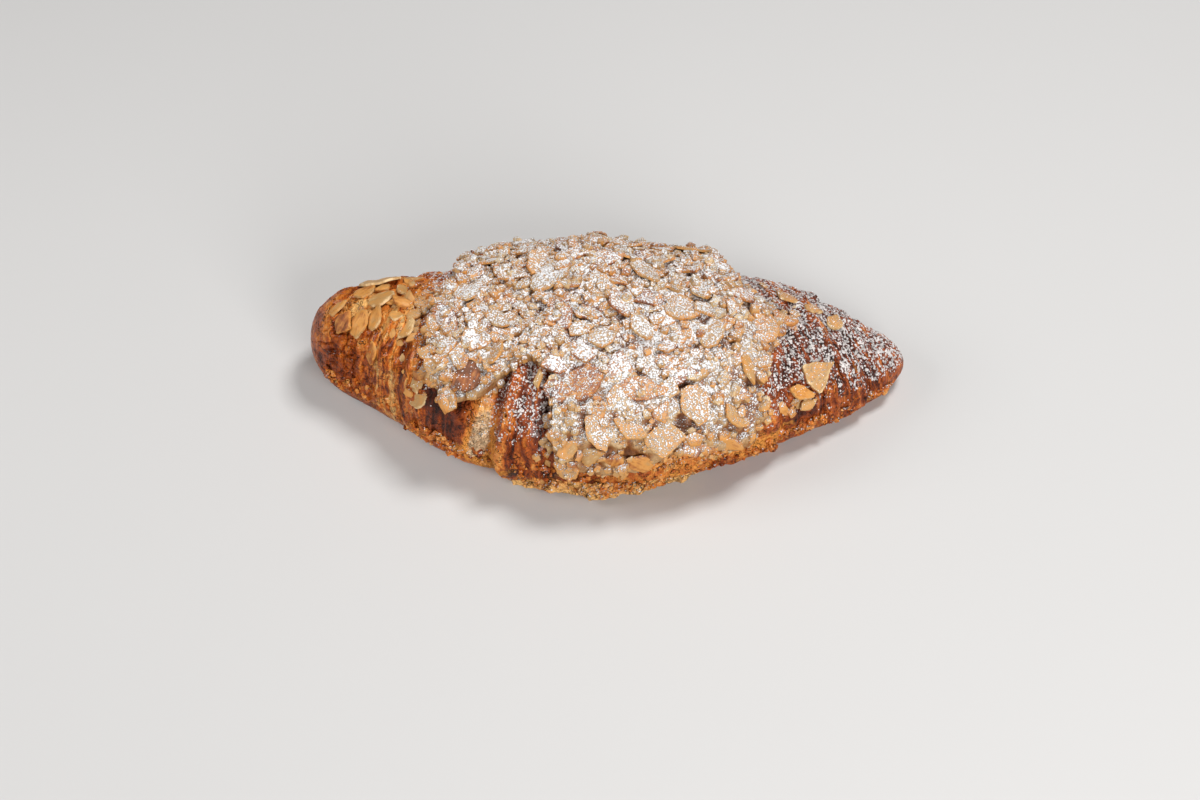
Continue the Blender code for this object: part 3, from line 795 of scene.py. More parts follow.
def set_down(base, ring, angle, yaw, tilt, lean):
    """Where a flake lies: turned by yaw and tilted towards lean, a little sunk in."""
    along, around, outward = (Vector(axis) for axis in axes_at(ring, angle))
    place = Matrix.Translation(Vector(base) - outward * SLICE_SUNK)
    axes = Matrix((along, around, outward)).transposed().to_4x4()
    leaning = Matrix.Rotation(lean, 4, "Z")
    tilted = leaning @ Matrix.Rotation(tilt, 4, "Y") @ leaning.inverted()
    return place @ axes @ tilted @ Matrix.Rotation(yaw, 4, "Z")


def pattern_of(shape):
    """Corners and faces, turned outwards, of a small shape that is to be repeated."""
    if shape.calc_volume(signed=True) < 0:
        bmesh.ops.reverse_faces(shape, faces=shape.faces)
    corners = np.array([corner.co[:] for corner in shape.verts])
    faces = [[corner.index for corner in face.verts] for face in shape.faces]
    shape.free()
    return corners, faces


def thicken(shape, height):
    """Raises a flat shape to a slab of this height."""
    raised = bmesh.ops.extrude_face_region(shape, geom=list(shape.faces))["geom"]
    top = [item for item in raised if isinstance(item, bmesh.types.BMVert)]
    bmesh.ops.translate(shape, verts=top, vec=(0, 0, height))


def slice_pattern():
    """Corners and faces of a thick disc made from a grid: its top at z = 1, its rim at radius 1."""
    shape = bmesh.new()
    bmesh.ops.create_grid(shape, x_segments=SLICE_CELLS, y_segments=SLICE_CELLS, size=1.0)
    thicken(shape, 1.0)
    corners, faces = pattern_of(shape)
    u, v = corners[:, 0].copy(), corners[:, 1].copy()
    corners[:, 0], corners[:, 1] = u * np.sqrt(1 - v * v / 2), v * np.sqrt(1 - u * u / 2)
    return corners, faces


SLICE = slice_pattern()


def joined(pieces):
    """One mesh from many small pieces: each is its points, its faces and numbers for its finish."""
    points, faces, layers = [], [], {}
    start = 0
    for corners, own_faces, numbers in pieces:
        faces += [[start + corner for corner in face] for face in own_faces]
        points.append(corners)
        for name, value in numbers.items():
            values = value if np.ndim(value) else np.full(len(corners), value)
            layers.setdefault(name, []).append(values)
        start += len(corners)
    points = np.concatenate(points)
    mesh = bpy.data.meshes.new("piece")
    mesh.from_pydata(points, [], faces)
    return mesh, points, {name: np.concatenate(values) for name, values in layers.items()}


def laid(place, points):
    """Points moved by a matrix."""
    matrix = np.array(place)
    return points @ matrix[:3, :3].T + matrix[:3, 3]


def almond_slice(size, sides, bend, snaps, place, toast, dust, drift):
    """One sliced almond, laid at its place. Its drift makes its unevenness its own."""
    length, width = size
    flat, top = SLICE[0][:, :2], SLICE[0][:, 2]
    edge, turn = np.hypot(flat[:, 0], flat[:, 1]), np.arctan2(flat[:, 1], flat[:, 0])
    aim = np.stack((np.cos(turn), np.sin(turn)), axis=-1)
    taper = 1 - SLICE_TAPER * np.maximum(aim[:, 0], 0.0)
    rim = aim * np.stack((np.full_like(turn, length / 2), width / 2 * taper), axis=-1)
    side = math.tau / sides
    flattened = math.cos(side / 2) / np.cos((turn + drift) % side - side / 2)
    rim *= (1 - SLICE_ANGULAR * (1 - flattened))[:, None]
    for way, kept in snaps:
        beyond = rim @ np.array((math.cos(way), math.sin(way))) / (kept * length / 2)
        rim /= np.maximum(beyond, 1.0)[:, None]
    turning = np.column_stack((aim * NOTCHES, np.full_like(turn, drift)))
    ragged = lumps(turning, 1.0) + FINE_RAGGED * lumps(turning, FINE_NOTCHES)
    rim *= (1 + SLICE_RAGGED * ragged)[:, None]
    spot = rim * edge[:, None]
    thin = np.where(top > 0.5, RIM_THIN[1], RIM_THIN[0]) * edge**RIM_THINS
    rise = np.where(top > 0.5, 1 - thin, thin) * SLICE_THICKNESS
    over = np.column_stack((spot, np.full_like(turn, drift)))
    rise += bend * (spot[:, 0] / (length / 2)) ** 2 + SLICE_WAVE * lumps(over, SLICE_WAVE_SIZE)
    dust = dust * (1 - RIM_BARE * edge**RIM_BARES)
    numbers = {"toast": toast, "rim": edge, "grain": over, "dust": dust}
    return laid(place, np.column_stack((spot, rise))), SLICE[1], numbers


def named_slices(rows, surface, lift=0.0):
    """The slices that stand out, each with one snapped edge."""
    draw = random.Random(SNAP_SEED)
    for number, (ring, degrees, length, width, yaw, tilt, toast, dust, sides) in enumerate(rows):
        snaps = [(draw.uniform(0, math.tau), draw.uniform(*SNAPPED_AT))]
        bend = draw.uniform(-SLICE_BEND, SLICE_BEND)
        angle, lean = math.radians(degrees), math.radians(yaw + 90)
        base = surface(ring, angle) + axes_at(ring, angle)[2] * lift
        place = set_down(base, ring, angle, math.radians(yaw), math.radians(tilt), lean)
        size, drift = (length, width), NAMED_DRIFT + number
        yield almond_slice(size, sides, bend, snaps, place, toast, dust, drift)


# Toasted almond from blanched to burnt, and how far each unevenness shifts its toasting
ALMOND_STOPS = (
    (0.00, (0.800, 0.580, 0.310)),
    (0.30, (0.485, 0.272, 0.100)),
    (0.60, (0.660, 0.290, 0.064)),
    (0.85, (0.330, 0.095, 0.022)),
    (1.00, (0.160, 0.050, 0.015)),
)
RIM_TOASTS = 9.0
TOASTED_IN_PATCHES = 0.90
TOASTED_ALONG_FIBRES = 0.60

# The sugar on almonds and cream: size of the specks, softness and veil
TOPPING_SUGAR = (0.0006, 0.20, 0.15)


def almond_finish(name, rim_browning):
    """Toasted almond: pale and waxy inside, browner in patches and along its rim."""
    finish = Finish(name, Metallic=0.0, Specular_IOR_Level=0.3)
    grain = finish.layer("grain", output="Vector")
    fibres = finish.noise(0.0009, finish.stretched(grain, (0.22, 1.0, 1.0)), detail=2.0)
    patches = finish.noise(0.0040, grain, detail=4.0, rough=0.65)
    rim = finish.layer("rim") ** RIM_TOASTS
    toasted = finish.layer("toast") + patches * TOASTED_IN_PATCHES + fibres * TOASTED_ALONG_FIBRES
    toasted = toasted + rim * (patches * 0.9 + rim_browning)
    sugar = sugared(finish, *TOPPING_SUGAR)
    finish.feed({
        "Base Color": finish.mix(sugar, finish.ramp(toasted, ALMOND_STOPS), SUGAR_WHITE),
        "Roughness": sugar * 0.4 + (patches * 0.3 + 0.48),
        "Normal": finish.bump((fibres, 0.0003), (patches, 0.0005), (sugar, 0.0008)),
    })
    return finish


def new_bits(name, pieces, finish, slot, node):
    """Joins many small pieces into one piece of the scene."""
    mesh, points, layers = joined(pieces)
    new_piece(name, mesh, points, finish, slot, node, dust=layers.pop("dust"), **layers)


toasted = almond_finish("toasted_almond", -0.26)
slices = named_slices(CRUST_FLAKES, crust_point)
new_bits("crust_almonds", slices, toasted, "baked_almond", "pastry")

# ---------------------------------------------------------------- the almond cream
# Almond cream spread over the crest and baked: lumpy, torn at its rim, browned there and in its
# hollows, which painted shade darkens too. It is a sphere with a pole at the cap's middle, pressed
# flat over the crust.

CREAM_MIDDLE = (-0.014, 80)

# Its rim: ring and degrees, the whole way round
CREAM_RIM = (
    (-0.0570, 88),
    (-0.0540, 116),
    (-0.0490, 139),
    (-0.0430, 149),
    (-0.0330, 142),
    (-0.0230, 124),
    (-0.0180, 119),
    (-0.0120, 125),
    (-0.0095, 150),
    (-0.0080, 172),
    (-0.0030, 183),
    (0.0080, 182),
    (0.0200, 168),
    (0.0290, 173),
    (0.0370, 177),
    (0.0420, 158),
    (0.0430, 135),
    (0.0500, 114),
    (0.0575, 96),
    (0.0530, 78),
    (0.0480, 48),
    (0.0430, 18),
    (0.0310, -4),
    (0.0160, 6),
    (0.0010, -10),
    (-0.0150, -3),
    (-0.0290, 10),
    (-0.0400, 2),
    (-0.0500, 18),
    (-0.0550, 42),
    (-0.0545, 66),
)
LENGTH_PER_DEGREE = 0.0008
CREAM_THICKNESS = 0.0032
CREAM_LUMP = 0.013
CREAM_LUMP_HEIGHT = 0.0012
CREAM_LUMP_DRIFT = (5, 0, 0)
STEPS_SHOW_THROUGH = 0.4
CREAM_SUNK = 0.0025
RIM_BAND = 0.08
RIM_OVERHANG = 0.75

# Heaps of the cream: ring, degrees, radius and height
CREAM_HEAPS = (
    (-0.011, 62, 0.014, 0.0028),
    (-0.033, 62, 0.012, 0.0016),
    (-0.034, 122, 0.014, 0.0018),
    (0.002, 150, 0.022, 0.0020),
    (0.034, 60, 0.014, 0.0008),
    (0.054, 100, 0.014, -0.0012),
)
CREAM_SECTORS = 440
CREAM_TOP_RINGS = 170
CREAM_EDGE_RINGS = 26
CREAM_CRAGS = ((0.0070, 0.0016), (0.0034, 0.0013), (0.0017, 0.0007))
CREAM_CRAG_DRIFT = 47.0
CRAG_TOP = 0.0004
RIM_TEARS = ((0.0060, 0.0016), (0.0022, 0.0007))
RIM_TEAR_DRIFT = 43.0
RIM_TEAR_RADIUS = 0.05
TORN_TOWARDS_RIM = (0.6, 1.0)

# Painted shade in the hollows between the crags: less sugar shows there and the cream is darker,
# partly real browning. The cream also browns at its rim
SUGAR_SHADE_DEPTHS = (-0.0012, -0.0001)
SUGAR_SHOWN_IN_SHADE = 0.45
CREAM_BAKED = 0.30
CREAM_HOLLOW_BROWNING_AND_SHADE = 520
CREAM_RIM_BROWNED = 0.25
CREAM_RIM_FROM = (0.86, 1.0)


def rim_reach(direction):
    """Distance from the cream's middle to its rim, in this direction over the crust."""
    rim = np.array(CREAM_RIM)
    along, around = rim[:, 0] - CREAM_MIDDLE[0], (rim[:, 1] - CREAM_MIDDLE[1]) * LENGTH_PER_DEGREE
    turns, reaches = np.arctan2(around, along) % math.tau, np.hypot(along, around)
    order = np.argsort(turns)
    turns, reaches = turns[order], reaches[order]
    turns = np.concatenate(([turns[-1] - math.tau], turns, [turns[0] + math.tau]))
    reaches = np.concatenate(([reaches[-1]], reaches, [reaches[0]]))
    high = np.clip(np.searchsorted(turns, direction), 1, len(turns) - 1)
    share = smooth_step(direction, turns[high - 1], turns[high])
    return reaches[high - 1] + share * (reaches[high] - reaches[high - 1])


def cream_place(share, direction, torn=0.0):
    """Ring and angle of the place that lies this share of the way to the rim."""
    reach = share * (rim_reach(direction % math.tau) + torn)
    ring = CREAM_MIDDLE[0] + reach * np.cos(direction)
    degrees = CREAM_MIDDLE[1] + reach * np.sin(direction) / LENGTH_PER_DEGREE
    return ring, np.radians(degrees)


def cream_thickness(ring, angle, base):
    """Thickness of the cream at a place on the roll, in heaps and lumps."""
    thickness = CREAM_THICKNESS
    for heap_ring, degrees, radius, height in CREAM_HEAPS:
        away = np.hypot(ring - heap_ring, (np.degrees(angle) - degrees) * LENGTH_PER_DEGREE)
        thickness = thickness + height * np.exp(-((away / radius) ** 2))
    return thickness + CREAM_LUMP_HEIGHT * lumps(base, CREAM_LUMP, CREAM_LUMP_DRIFT)


def cream_surface(ring, angle):
    """The top of the cream at a place on the roll."""
    base = roll_point(ring, angle, wrap_relief(ring) * STEPS_SHOW_THROUGH)
    return base + axes_at(ring, angle)[2] * np.expand_dims(cream_thickness(ring, angle, base), -1)


CREAM_STOPS = (
    (0.00, (0.700, 0.480, 0.260)),
    (0.35, (0.400, 0.212, 0.083)),
    (0.65, (0.300, 0.105, 0.028)),
    (1.00, (0.140, 0.045, 0.012)),
)


def cream_finish(name):
    """Baked almond cream: pale and grainy, browned and painted with shade in its hollows."""
    finish = Finish(name, Metallic=0.0, Specular_IOR_Level=0.2)
    patches = finish.noise(0.0055, detail=3.0)
    meal = finish.noise(0.0011, detail=2.0)
    sugar = sugared(finish, *TOPPING_SUGAR)
    # The browning layer read here also carries painted shade in the cream's hollows
    baked_and_shaded = finish.layer("bake") + patches * 0.5 + meal * 0.5
    finish.feed({
        "Base Color": finish.mix(sugar, finish.ramp(baked_and_shaded, CREAM_STOPS), SUGAR_WHITE),
        "Roughness": sugar * 0.2 + (meal * 0.3 + 0.68),
        "Normal": finish.bump((meal, 0.0012), (sugar, 0.0008)),
    })
    return finish


shape = bmesh.new()
rows = CREAM_TOP_RINGS + CREAM_EDGE_RINGS + 2
bmesh.ops.create_uvsphere(shape, u_segments=CREAM_SECTORS, v_segments=rows, radius=1.0)
row, turn = pole_row_and_turn(shape, rows)
row, direction = rows - row, turn * math.tau
edge = (row - CREAM_TOP_RINGS) / CREAM_EDGE_RINGS
share = np.where(edge <= 0, (1 - RIM_BAND) * row / CREAM_TOP_RINGS,
                 1 - RIM_BAND * (1 - np.sin(edge * math.pi * RIM_OVERHANG)))
share = np.where(edge > 1, (1 - RIM_BAND) * (rows - row) / 2, share)
height = np.where(edge <= 0, 1.0, np.where(edge > 1, -1.0, 0.5 + 0.5 * np.cos(edge * math.pi)))
around_rim = np.stack((np.cos(direction), np.sin(direction), 0 * direction), axis=-1)
around_rim = around_rim * RIM_TEAR_RADIUS
torn = sum(depth * lumps(around_rim, size, RIM_TEAR_DRIFT) for size, depth in RIM_TEARS)
ring, angle = cream_place(share, direction, torn * smooth_step(share, *TORN_TOWARDS_RIM))
followed = STEPS_SHOW_THROUGH + (1 - STEPS_SHOW_THROUGH) * share**3
base = roll_point(ring, angle, wrap_relief(ring) * followed)
outward = axes_at(ring, angle)[2]
thick = np.where(height < 0, CREAM_SUNK, cream_thickness(ring, angle, base))
crags = sum(rise * lumps(base, size, CREAM_CRAG_DRIFT) for size, rise in CREAM_CRAGS)
crags = np.minimum(crags, CRAG_TOP) * np.clip(height * 1.5, 0.0, 1.0)
points = base + outward * (height * thick + crags)[:, None]
browned = CREAM_RIM_BROWNED * smooth_step(share, *CREAM_RIM_FROM)
new_piece(
    "almond_cream", mesh_of(shape), points, cream_finish("baked_cream"),
    "baked_almond", "almond_topping",
    # Painted shade in the hollows: less sugar shows and the cream is darker, partly real browning
    dust=SUGAR_SHOWN_IN_SHADE + (1 - SUGAR_SHOWN_IN_SHADE) * smooth_step(crags, *SUGAR_SHADE_DEPTHS),
    bake=CREAM_BAKED - CREAM_HOLLOW_BROWNING_AND_SHADE * crags + browned,
)

# ---------------------------------------------------------------- sliced almonds on the cream
# Whole and broken slices pressed into the cream before baking. They lie where the topping node has
# them: the ones that stand out at their own places, the rest spread out evenly, largest first.

# The ones that stand out: ring, degrees, length, width, yaw, tilt, toast, sugar and corners
CREAM_FLAKES = (
    (-0.0215, 76, 0.0225, 0.0115, 61, 10, 0.30, 0.95, 12),
    (-0.0275, 66, 0.0180, 0.0100, 68, -35, 0.45, 0.75, 7),
    (-0.0030, 129, 0.0155, 0.0140, 62, 14, 0.76, 0.55, 4),
    (0.0170, 156, 0.0150, 0.0115, 15, 16, 0.40, 0.75, 4),
    (0.0245, 141, 0.0145, 0.0105, -81, 8, 0.42, 0.80, 6),
    (-0.0355, 131, 0.0105, 0.0100, 87, 6, 0.92, 0.20, 12),
    (-0.0290, 119, 0.0105, 0.0070, 71, 40, 0.40, 0.40, 7),
    (0.0340, 40, 0.0160, 0.0110, 5, 8, 0.36, 0.55, 6),
    (0.0115, 72, 0.0160, 0.0085, -55, 12, 0.36, 0.80, 6),
    (0.0235, 94, 0.0135, 0.0135, -24, 8, 0.40, 0.80, 6),
    (-0.0145, 129, 0.0075, 0.0030, 83, 20, 0.25, 0.0, 4),
    (-0.0050, 160, 0.0080, 0.0065, 43, 25, 0.40, 0.20, 5),
    (0.0090, 150, 0.0130, 0.0080, -33, 30, 0.45, 0.60, 4),
    (0.0480, 102, 0.0145, 0.0115, 54, 10, 0.56, 0.85, 6),
    (0.0320, 108, 0.0145, 0.0075, 57, 18, 0.35, 0.70, 5),
    (0.0390, 126, 0.0115, 0.0060, -84, 28, 0.38, 0.20, 5),
    (0.0335, 150, 0.0105, 0.0060, -55, 26, 0.36, 0.30, 5),
    (0.0000, 109, 0.0100, 0.0095, 12, 10, 0.32, 0.90, 6),
    (0.0110, 104, 0.0130, 0.0080, -68, 12, 0.32, 0.90, 5),
    (-0.0465, 86, 0.0105, 0.0100, 33, 10, 0.35, 0.90, 7),
    (-0.0325, 102, 0.0100, 0.0075, -39, 14, 0.35, 0.80, 6),
)
WHOLE_LIFT = 0.0006
SLICE_LENGTH = 0.0225
SLICE_WIDTH = 0.0115

# The rest: how many, and from and to which share of a slice, width, bend, snaps, tilt and toast
SCATTERED_FLAKES = 87
SCATTER_TRIES = 14
SCATTER_REACH = 0.93
SCATTER_SEEDS = (5, 19)
SCATTERED_DRIFT = 40.0
FLAKE_SIZES = (0.74, 0.34)
LEAST_WIDTH = 0.4
WIDENED = (0.4, 0.8)
FLAKE_BEND = 0.0008
FLAKE_SNAPPED_AT = (0.3, 0.75)
FLAKE_TILTS = (0.10, 0.42)
FLAKE_TOASTS = (0.32, 0.80)
FLAKE_DUSTS = (0.75, 1.15)
FLAKE_CORNERS = (4, 5, 6, 7, 12)


def scattered_slices():
    """Broken slices spread evenly over the cream between the ones that stand out."""
    draw, shade = (random.Random(seed) for seed in SCATTER_SEEDS)
    taken = [Vector(cream_surface(row[0], math.radians(row[1]))) for row in CREAM_FLAKES]
    for number in range(SCATTERED_FLAKES):
        choices = []
        for _ in range(SCATTER_TRIES):
            share = SCATTER_REACH * math.sqrt(draw.random())
            ring, angle = cream_place(share, draw.uniform(0, math.tau))
            base = Vector(cream_surface(ring, angle))
            spare = min((base - other).length for other in taken)
            choices.append((spare, ring, angle, base))
        _, ring, angle, base = max(choices, key=lambda choice: choice[0])
        taken.append(base)
        size = FLAKE_SIZES[0] + (FLAKE_SIZES[1] - FLAKE_SIZES[0]) * number / SCATTERED_FLAKES
        width = SLICE_WIDTH * min(1.0, LEAST_WIDTH + size * draw.uniform(*WIDENED))
        snaps = [(draw.uniform(0, math.tau), draw.uniform(*FLAKE_SNAPPED_AT))
                 for _ in range(draw.choice((1, 2)))]
        bend = draw.uniform(-FLAKE_BEND, FLAKE_BEND)
        yaw, lean = draw.uniform(0, math.tau), draw.uniform(0, math.tau)
        place = set_down(base, ring, angle, yaw, draw.uniform(*FLAKE_TILTS), lean)
        toast, dust = shade.uniform(*FLAKE_TOASTS), shade.uniform(*FLAKE_DUSTS)
        sides, drift = shade.choice(FLAKE_CORNERS), SCATTERED_DRIFT + number
        size = (size * SLICE_LENGTH, width)
        yield almond_slice(size, sides, bend, snaps, place, toast, dust, drift)


baked_almond = almond_finish("baked_almond", 0.10)
new_bits("cream_almonds", scattered_slices(), baked_almond, "baked_almond", "almond_topping")
whole = named_slices(CREAM_FLAKES, cream_surface, WHOLE_LIFT)
new_bits("whole_almonds", whole, baked_almond, "baked_almond", "almond_topping")

# ---------------------------------------------------------------- chips and nibs
# Bits that broke off the slices, and chopped almond: flat chips with four to six sides, and small
# blocks. They lie on whatever is highest where they fell, on the cream and a few on the crust.

CHIPS = 380
NIBS = 2600
KINDS = 24
BITS_SEED = 23

# A chip, 1 across, and a nib, 1 across
CHIP_CORNERS = (4, 5, 6)
CHIP_LENGTHS = (0.6, 1.25)
CHIP_WIDTHS = (0.5, 1.0)
CHIP_HEIGHTS = (0.12, 0.24)
CHIP_SOFTENED = 0.05
NIB_ROUNDED = 0.8
NIB_UNEVEN = (0.8, 1.3)
NIB_LENGTHS = (1.0, 1.0, 1.6)
NIB_RAISED = 0.2

# As they lie: size, reach, toast, share of those on slices that stay, and share on the crust
CHIPS_LAID = ((0.0030, 0.0075), 0.97, (0.25, 0.70), 0.5, 1.0)
NIBS_LAID = ((0.0010, 0.0032), 0.99, (0.10, 0.72), 0.22, 0.25)
BITS_SMALL = 1.6
BIT_TILT = 0.30
BIT_RIM = 0.4
BIT_DUSTS = (0.45, 1.0)
KEPT_BARE = ("crust_almonds", "whole_almonds")
DROP = 0.02

# Spots of the crust with bits: ring, degrees, reach along, reach round and how many
CRUST_BITS = (
    (-0.0700, 80, 0.0060, 30, 16),
    (-0.0615, 100, 0.0040, 34, 26),
    (-0.0540, 145, 0.0040, 10, 8),
    (0.0580, 84, 0.0070, 24, 22),
    (0.0540, 156, 0.0060, 12, 16),
    (-0.0110, 165, 0.0030, 12, 6),
)


def chip(draw):
    """A flat chip of almond, 1 across, with an uneven outline and softened edges."""
    shape = bmesh.new()
    bmesh.ops.create_circle(shape, cap_ends=True, segments=draw.choice(CHIP_CORNERS), radius=0.5)
    for corner in shape.verts:
        corner.co.x *= draw.uniform(*CHIP_LENGTHS)
        corner.co.y *= draw.uniform(*CHIP_WIDTHS)
    thicken(shape, draw.uniform(*CHIP_HEIGHTS))
    bmesh.ops.bevel(shape, geom=list(shape.edges), offset=CHIP_SOFTENED, segments=1, profile=0.5,
                    affect="EDGES", material=-1)
    return pattern_of(shape)


def nib(draw):
    """A rounded crumb of almond or baked cream, 1 across."""
    shape = bmesh.new()
    bmesh.ops.create_cube(shape, size=1.0)
    bmesh.ops.subdivide_edges(shape, edges=shape.edges, cuts=1, use_grid_fill=True)
    bmesh.ops.smooth_vert(shape, verts=shape.verts, factor=NIB_ROUNDED,
                          use_axis_x=True, use_axis_y=True, use_axis_z=True)
    length = draw.choice(NIB_LENGTHS)
    for corner in shape.verts:
        corner.co = Vector(value * draw.uniform(*NIB_UNEVEN) for value in corner.co)
        corner.co.x *= length
        corner.co.z += NIB_RAISED
    return pattern_of(shape)


def small_mostly(draw, sizes, power):
    """A size from the first to the second, the more often small the higher the power."""
    return sizes[0] + (sizes[1] - sizes[0]) * draw.random() ** power


def settle(ring, angle):
    """The highest ground at a place, looking down along the way out of the roll, and its name."""
    base, outward = Vector(roll_point(ring, angle, 0.0)), Vector(axes_at(ring, angle)[2])
    hits = [(ground.ray_cast(base + outward * DROP, -outward, 2 * DROP)[0], name)
            for name, ground in grounds.items()]
    hits = [hit for hit in hits if hit[0]]
    return max(hits, key=lambda hit: hit[0].dot(outward)) if hits else (base, "")


def bit_places(draw, count, reach, crust_share):
    """Places for bits: most spread over the cream, and some round spots of the crust."""
    for _ in range(count):
        yield cream_place(reach * math.sqrt(draw.random()), draw.uniform(0, math.tau))
    for ring, degrees, along, around, bits in CRUST_BITS:
        for _ in range(round(bits * crust_share)):
            yield draw.gauss(ring, along / 2), math.radians(draw.gauss(degrees, around / 2))


def scattered_bits(draw, kinds, count, laid_as):
    """Bits of these kinds where they fell, each a little sunk in and few of them on slices."""
    sizes, reach, toast, on_slices, crust_share = laid_as
    for ring, angle in bit_places(draw, count, reach, crust_share):
        ground, under = settle(ring, angle)
        if under in KEPT_BARE or under == "cream_almonds" and draw.random() > on_slices:
            continue
        size = small_mostly(draw, sizes, BITS_SMALL)
        tilt, yaw = draw.gauss(0, BIT_TILT), draw.uniform(0, math.tau)
        lean = draw.uniform(0, math.tau)
        place = set_down(ground, ring, angle, yaw, tilt, lean)
        corners, faces = draw.choice(kinds)
        corners = corners * size
        numbers = {
            "toast": draw.uniform(*toast),
            "rim": np.full(len(corners), BIT_RIM),
            "grain": corners + draw.uniform(0, 2),
            "dust": draw.uniform(*BIT_DUSTS),
        }
        yield laid(place, corners), faces, numbers


draw = random.Random(BITS_SEED)
chips, nibs = [chip(draw) for _ in range(KINDS)], [nib(draw) for _ in range(KINDS)]
bits = [
    *scattered_bits(draw, chips, CHIPS, CHIPS_LAID),
    *scattered_bits(draw, nibs, NIBS, NIBS_LAID),
]
chopped = almond_finish("chopped_almond", 0.0)
new_bits("almond_bits", bits, chopped, "baked_almond", "almond_topping")

# ---------------------------------------------------------------- crumbs of the crust
# Where the foot tore off the tray, and on the lip, the crust is granular: browned crumbs cling to
# it. They are the same rounded kinds as the nibs, laid along the foot and dropped on the lip.

CRUMBS_SEED = 41
CRUMB_SIZES = (0.0007, 0.0024)
CRUMB_SUNK = (-0.35, 0.05)
CRUMB_TORN = (0.0, 0.4)
CRUMB_DUST = 0.5
LIP_CRUMBS = 700
LIP_DEPTH = 0.0110
DROP_HEIGHT = 0.08
DOWN = Vector((0, 0, -1))

# Bands of the roll that crumbs cling to: from and to along it, from and to round it, how many
FRONT_FOOT = (-0.094, 0.094, 180, 204, 420)
BACK_FOOT = (-0.094, 0.094, -24, 0, 240)
OVER_THE_LIP = (0.006, 0.034, 166, 184, 300)

# How brown the crumbs are baked: from and to
FOOT_CRUMBS_BAKED = (0.15, 0.60)
CRUMBS_OVER_LIP_BAKED = (0.00, 0.30)
LIP_CRUMBS_BAKED = (-0.10, 0.28)


def clinging_crumbs(draw, band):
    """Places over a band of the roll."""
    for _ in range(band[4]):
        ring, angle = draw.uniform(*band[:2]), math.radians(draw.uniform(*band[2:4]))
        spot = Vector(roll_point(ring, angle, wrap_relief(ring) + CRUST_LUMP_HEIGHT / 4))
        yield spot, Vector(axes_at(ring, angle)[2])


def lip_crumbs(draw):
    """Places on top of the lip and over its edge."""
    left = LIP_CRUMBS
    while left:
        x = draw.uniform(LIP_FROM, LIP_TO)
        spine, front, _, _ = station_values(x)
        y = spine - front - LIP_BEYOND_SIDE_LEFT + LIP_DEPTH * draw.random()
        spot, normal, _, _ = grounds["front_lip"].ray_cast((x, y, DROP_HEIGHT), DOWN)
        if spot:
            left -= 1
            yield spot, normal


def any_way(draw):
    """A turn by any angle about a leaning axis."""
    return Matrix.Rotation(draw.uniform(0, math.tau), 4, Vector((draw.random(), draw.random(), 1)))


def crumb_pieces(draw, places, kinds, browned):
    """Crumbs turned every way at these places."""
    for spot, normal in places:
        size = small_mostly(draw, CRUMB_SIZES, 2)
        turned = any_way(draw)
        corners, faces = draw.choice(kinds)
        place = Matrix.Translation(spot + normal * size * draw.uniform(*CRUMB_SUNK)) @ turned
        points = laid(place, corners * size)
        points[:, 2] = np.maximum(points[:, 2], 0.0)
        numbers = {"bake": draw.uniform(*browned), "crumb": draw.uniform(*CRUMB_TORN)}
        yield points, faces, {**numbers, "stretch": 0.0, "grain": points, "dust": CRUMB_DUST}


draw = random.Random(CRUMBS_SEED)
crumbs = [
    *crumb_pieces(draw, clinging_crumbs(draw, FRONT_FOOT), nibs, FOOT_CRUMBS_BAKED),
    *crumb_pieces(draw, clinging_crumbs(draw, BACK_FOOT), nibs, FOOT_CRUMBS_BAKED),
    *crumb_pieces(draw, clinging_crumbs(draw, OVER_THE_LIP), nibs, CRUMBS_OVER_LIP_BAKED),
    *crumb_pieces(draw, lip_crumbs(draw), nibs, LIP_CRUMBS_BAKED),
]
new_bits("crust_crumbs", crumbs, crust_finish("crust_crumbs"), "crust", "pastry")

# ---------------------------------------------------------------- icing sugar
# Icing sugar sifted over it all: fine grains that cling together where they fell. Each is a small
# distorted sphere dropped straight down on what lies highest; the finishes carry the finer dust.

GRAINS = 9000
GRAINS_SEED = 31
GRAIN_SIZES = (0.00018, 0.00048)
GRAIN_UNEVEN = (0.7, 1.2)
GRAIN_RAISED = 0.2
HALF_WIDTH = 0.053
SUGAR_DAMP = (0.80, 0.78, 0.76)
DAMP = (-0.10, 0.20)


def sugar_grain(draw):
    """A clump of icing sugar, 1 across."""
    shape = bmesh.new()
    bmesh.ops.create_icosphere(shape, subdivisions=1, radius=0.5)
    for corner in shape.verts:
        corner.co *= draw.uniform(*GRAIN_UNEVEN)
    return pattern_of(shape)


def sifted(draw, kinds):
    """Grains where they land, more of them where the dust lies thick."""
    left = GRAINS
    while left:
        x, y = draw.uniform(-HALF_LENGTH, HALF_LENGTH), draw.uniform(-HALF_WIDTH, HALF_WIDTH)
        hits = [ground.ray_cast((x, y, DROP_HEIGHT), DOWN)[:2] for ground in grounds.values()]
        hits = [hit for hit in hits if hit[0]]
        if not hits:
            continue
        spot, normal = max(hits, key=lambda hit: hit[0].z)
        thick = float(dusting(np.array([spot]), np.array([normal]))[0])
        if draw.random() < thick:
            left -= 1
            corners, faces = draw.choice(kinds)
            size = small_mostly(draw, GRAIN_SIZES, 2)
            place = Matrix.Translation(spot + normal * size * GRAIN_RAISED) @ any_way(draw)
            yield laid(place, corners * size), faces, {"dust": 1.0}


def sugar_finish(name):
    """Icing sugar: white and dry, a little greyer where it has drawn moisture."""
    finish = Finish(name, Metallic=0.0)
    damp = finish.rise(finish.noise(0.0020), *DAMP)
    finish.feed({
        "Base Color": finish.mix(damp, SUGAR_WHITE, SUGAR_DAMP),
        "Roughness": 0.92 - damp * 0.15,
        "Normal": finish.bump((finish.noise(0.0002), 0.0001)),
    })
    return finish


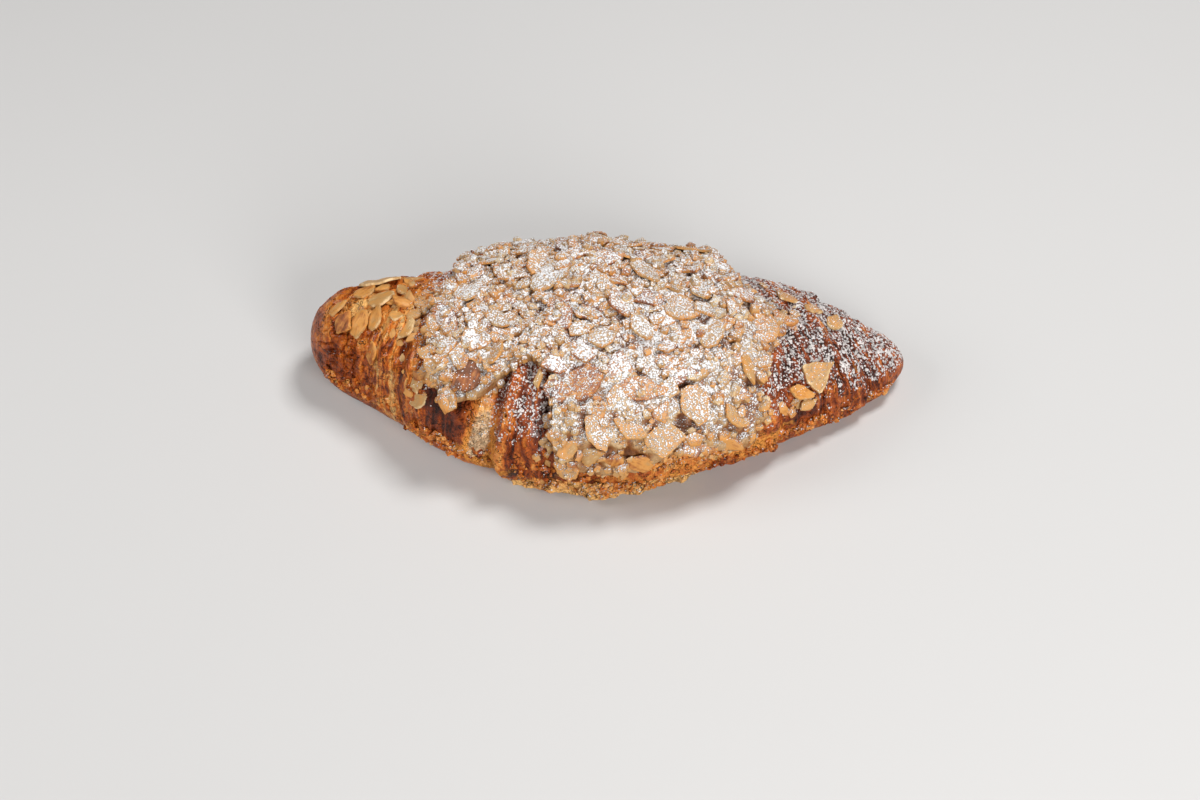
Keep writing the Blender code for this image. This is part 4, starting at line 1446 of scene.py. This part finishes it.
draw = random.Random(GRAINS_SEED)
grains = sifted(draw, [sugar_grain(draw) for _ in range(KINDS)])
new_bits("icing_sugar", grains, sugar_finish("icing_sugar"), "baked_almond", "almond_topping")

# ---------------------------------------------------------------- floor, light and camera
# A plain pale floor, soft light from above and behind on the right, and the photograph's view.

FLOOR_SIZE = 3.0
FLOOR_COLOUR = (0.60, 0.59, 0.58)
FLOOR_MOTTLED = 0.99
FLOOR_MOTTLE = 0.05
CAMERA_PLACE = (-0.0026, -0.5090, 0.5457)
CAMERA_ELEVATION = math.radians(47)
CAMERA_LENS = 65.31
SENSOR_WIDTH = 36.0
SEEN_FROM = 0.01
SKY_STRENGTH = 0.09

# Square lamps aimed at the middle: place, size and power
LAMPS = (
    ("window", (0.34, 0.20, 0.98), 0.30, 7.8),
    ("side", (-0.75, -0.10, 0.55), 0.40, 3.2),
    ("front", (0.38, -0.84, 0.46), 0.50, 8.3),
)

shape = bmesh.new()
bmesh.ops.create_grid(shape, x_segments=1, y_segments=1, size=FLOOR_SIZE / 2)
mesh = mesh_of(shape)
mesh.name = "floor"
floor = bpy.data.objects.new("floor", mesh)
bpy.context.scene.collection.objects.link(floor)
paper = Finish("pale_floor", Roughness=0.9)
mottled = tuple(part * FLOOR_MOTTLED for part in FLOOR_COLOUR)
mottling = paper.noise(FLOOR_MOTTLE) + 0.5
paper.feed({"Base Color": paper.mix(mottling, FLOOR_COLOUR, mottled)})
mesh.materials.append(paper.material)

for name, place, size, power in LAMPS:
    light = bpy.data.lights.new(name, "AREA")
    light.size = size
    light.energy = power
    lamp = bpy.data.objects.new(name, light)
    lamp.location = place
    lamp.rotation_euler = (-Vector(place)).to_track_quat("-Z", "Y").to_euler()
    bpy.context.scene.collection.objects.link(lamp)

world = bpy.data.worlds.new("soft_room")
world.use_nodes = True
sky = world.node_tree.nodes["Background"]
sky.inputs["Color"].default_value = (1.0, 1.0, 1.0, 1)
sky.inputs["Strength"].default_value = SKY_STRENGTH
bpy.context.scene.world = world
bpy.context.scene.view_settings.view_transform = "Standard"

camera = bpy.data.objects.new("camera", bpy.data.cameras.new("camera"))
camera.data.lens = CAMERA_LENS
camera.data.sensor_width = SENSOR_WIDTH
camera.data.clip_start = SEEN_FROM
camera.location = CAMERA_PLACE
camera.rotation_euler = (math.pi / 2 - CAMERA_ELEVATION, 0.0, 0.0)
bpy.context.scene.collection.objects.link(camera)
bpy.context.scene.camera = camera
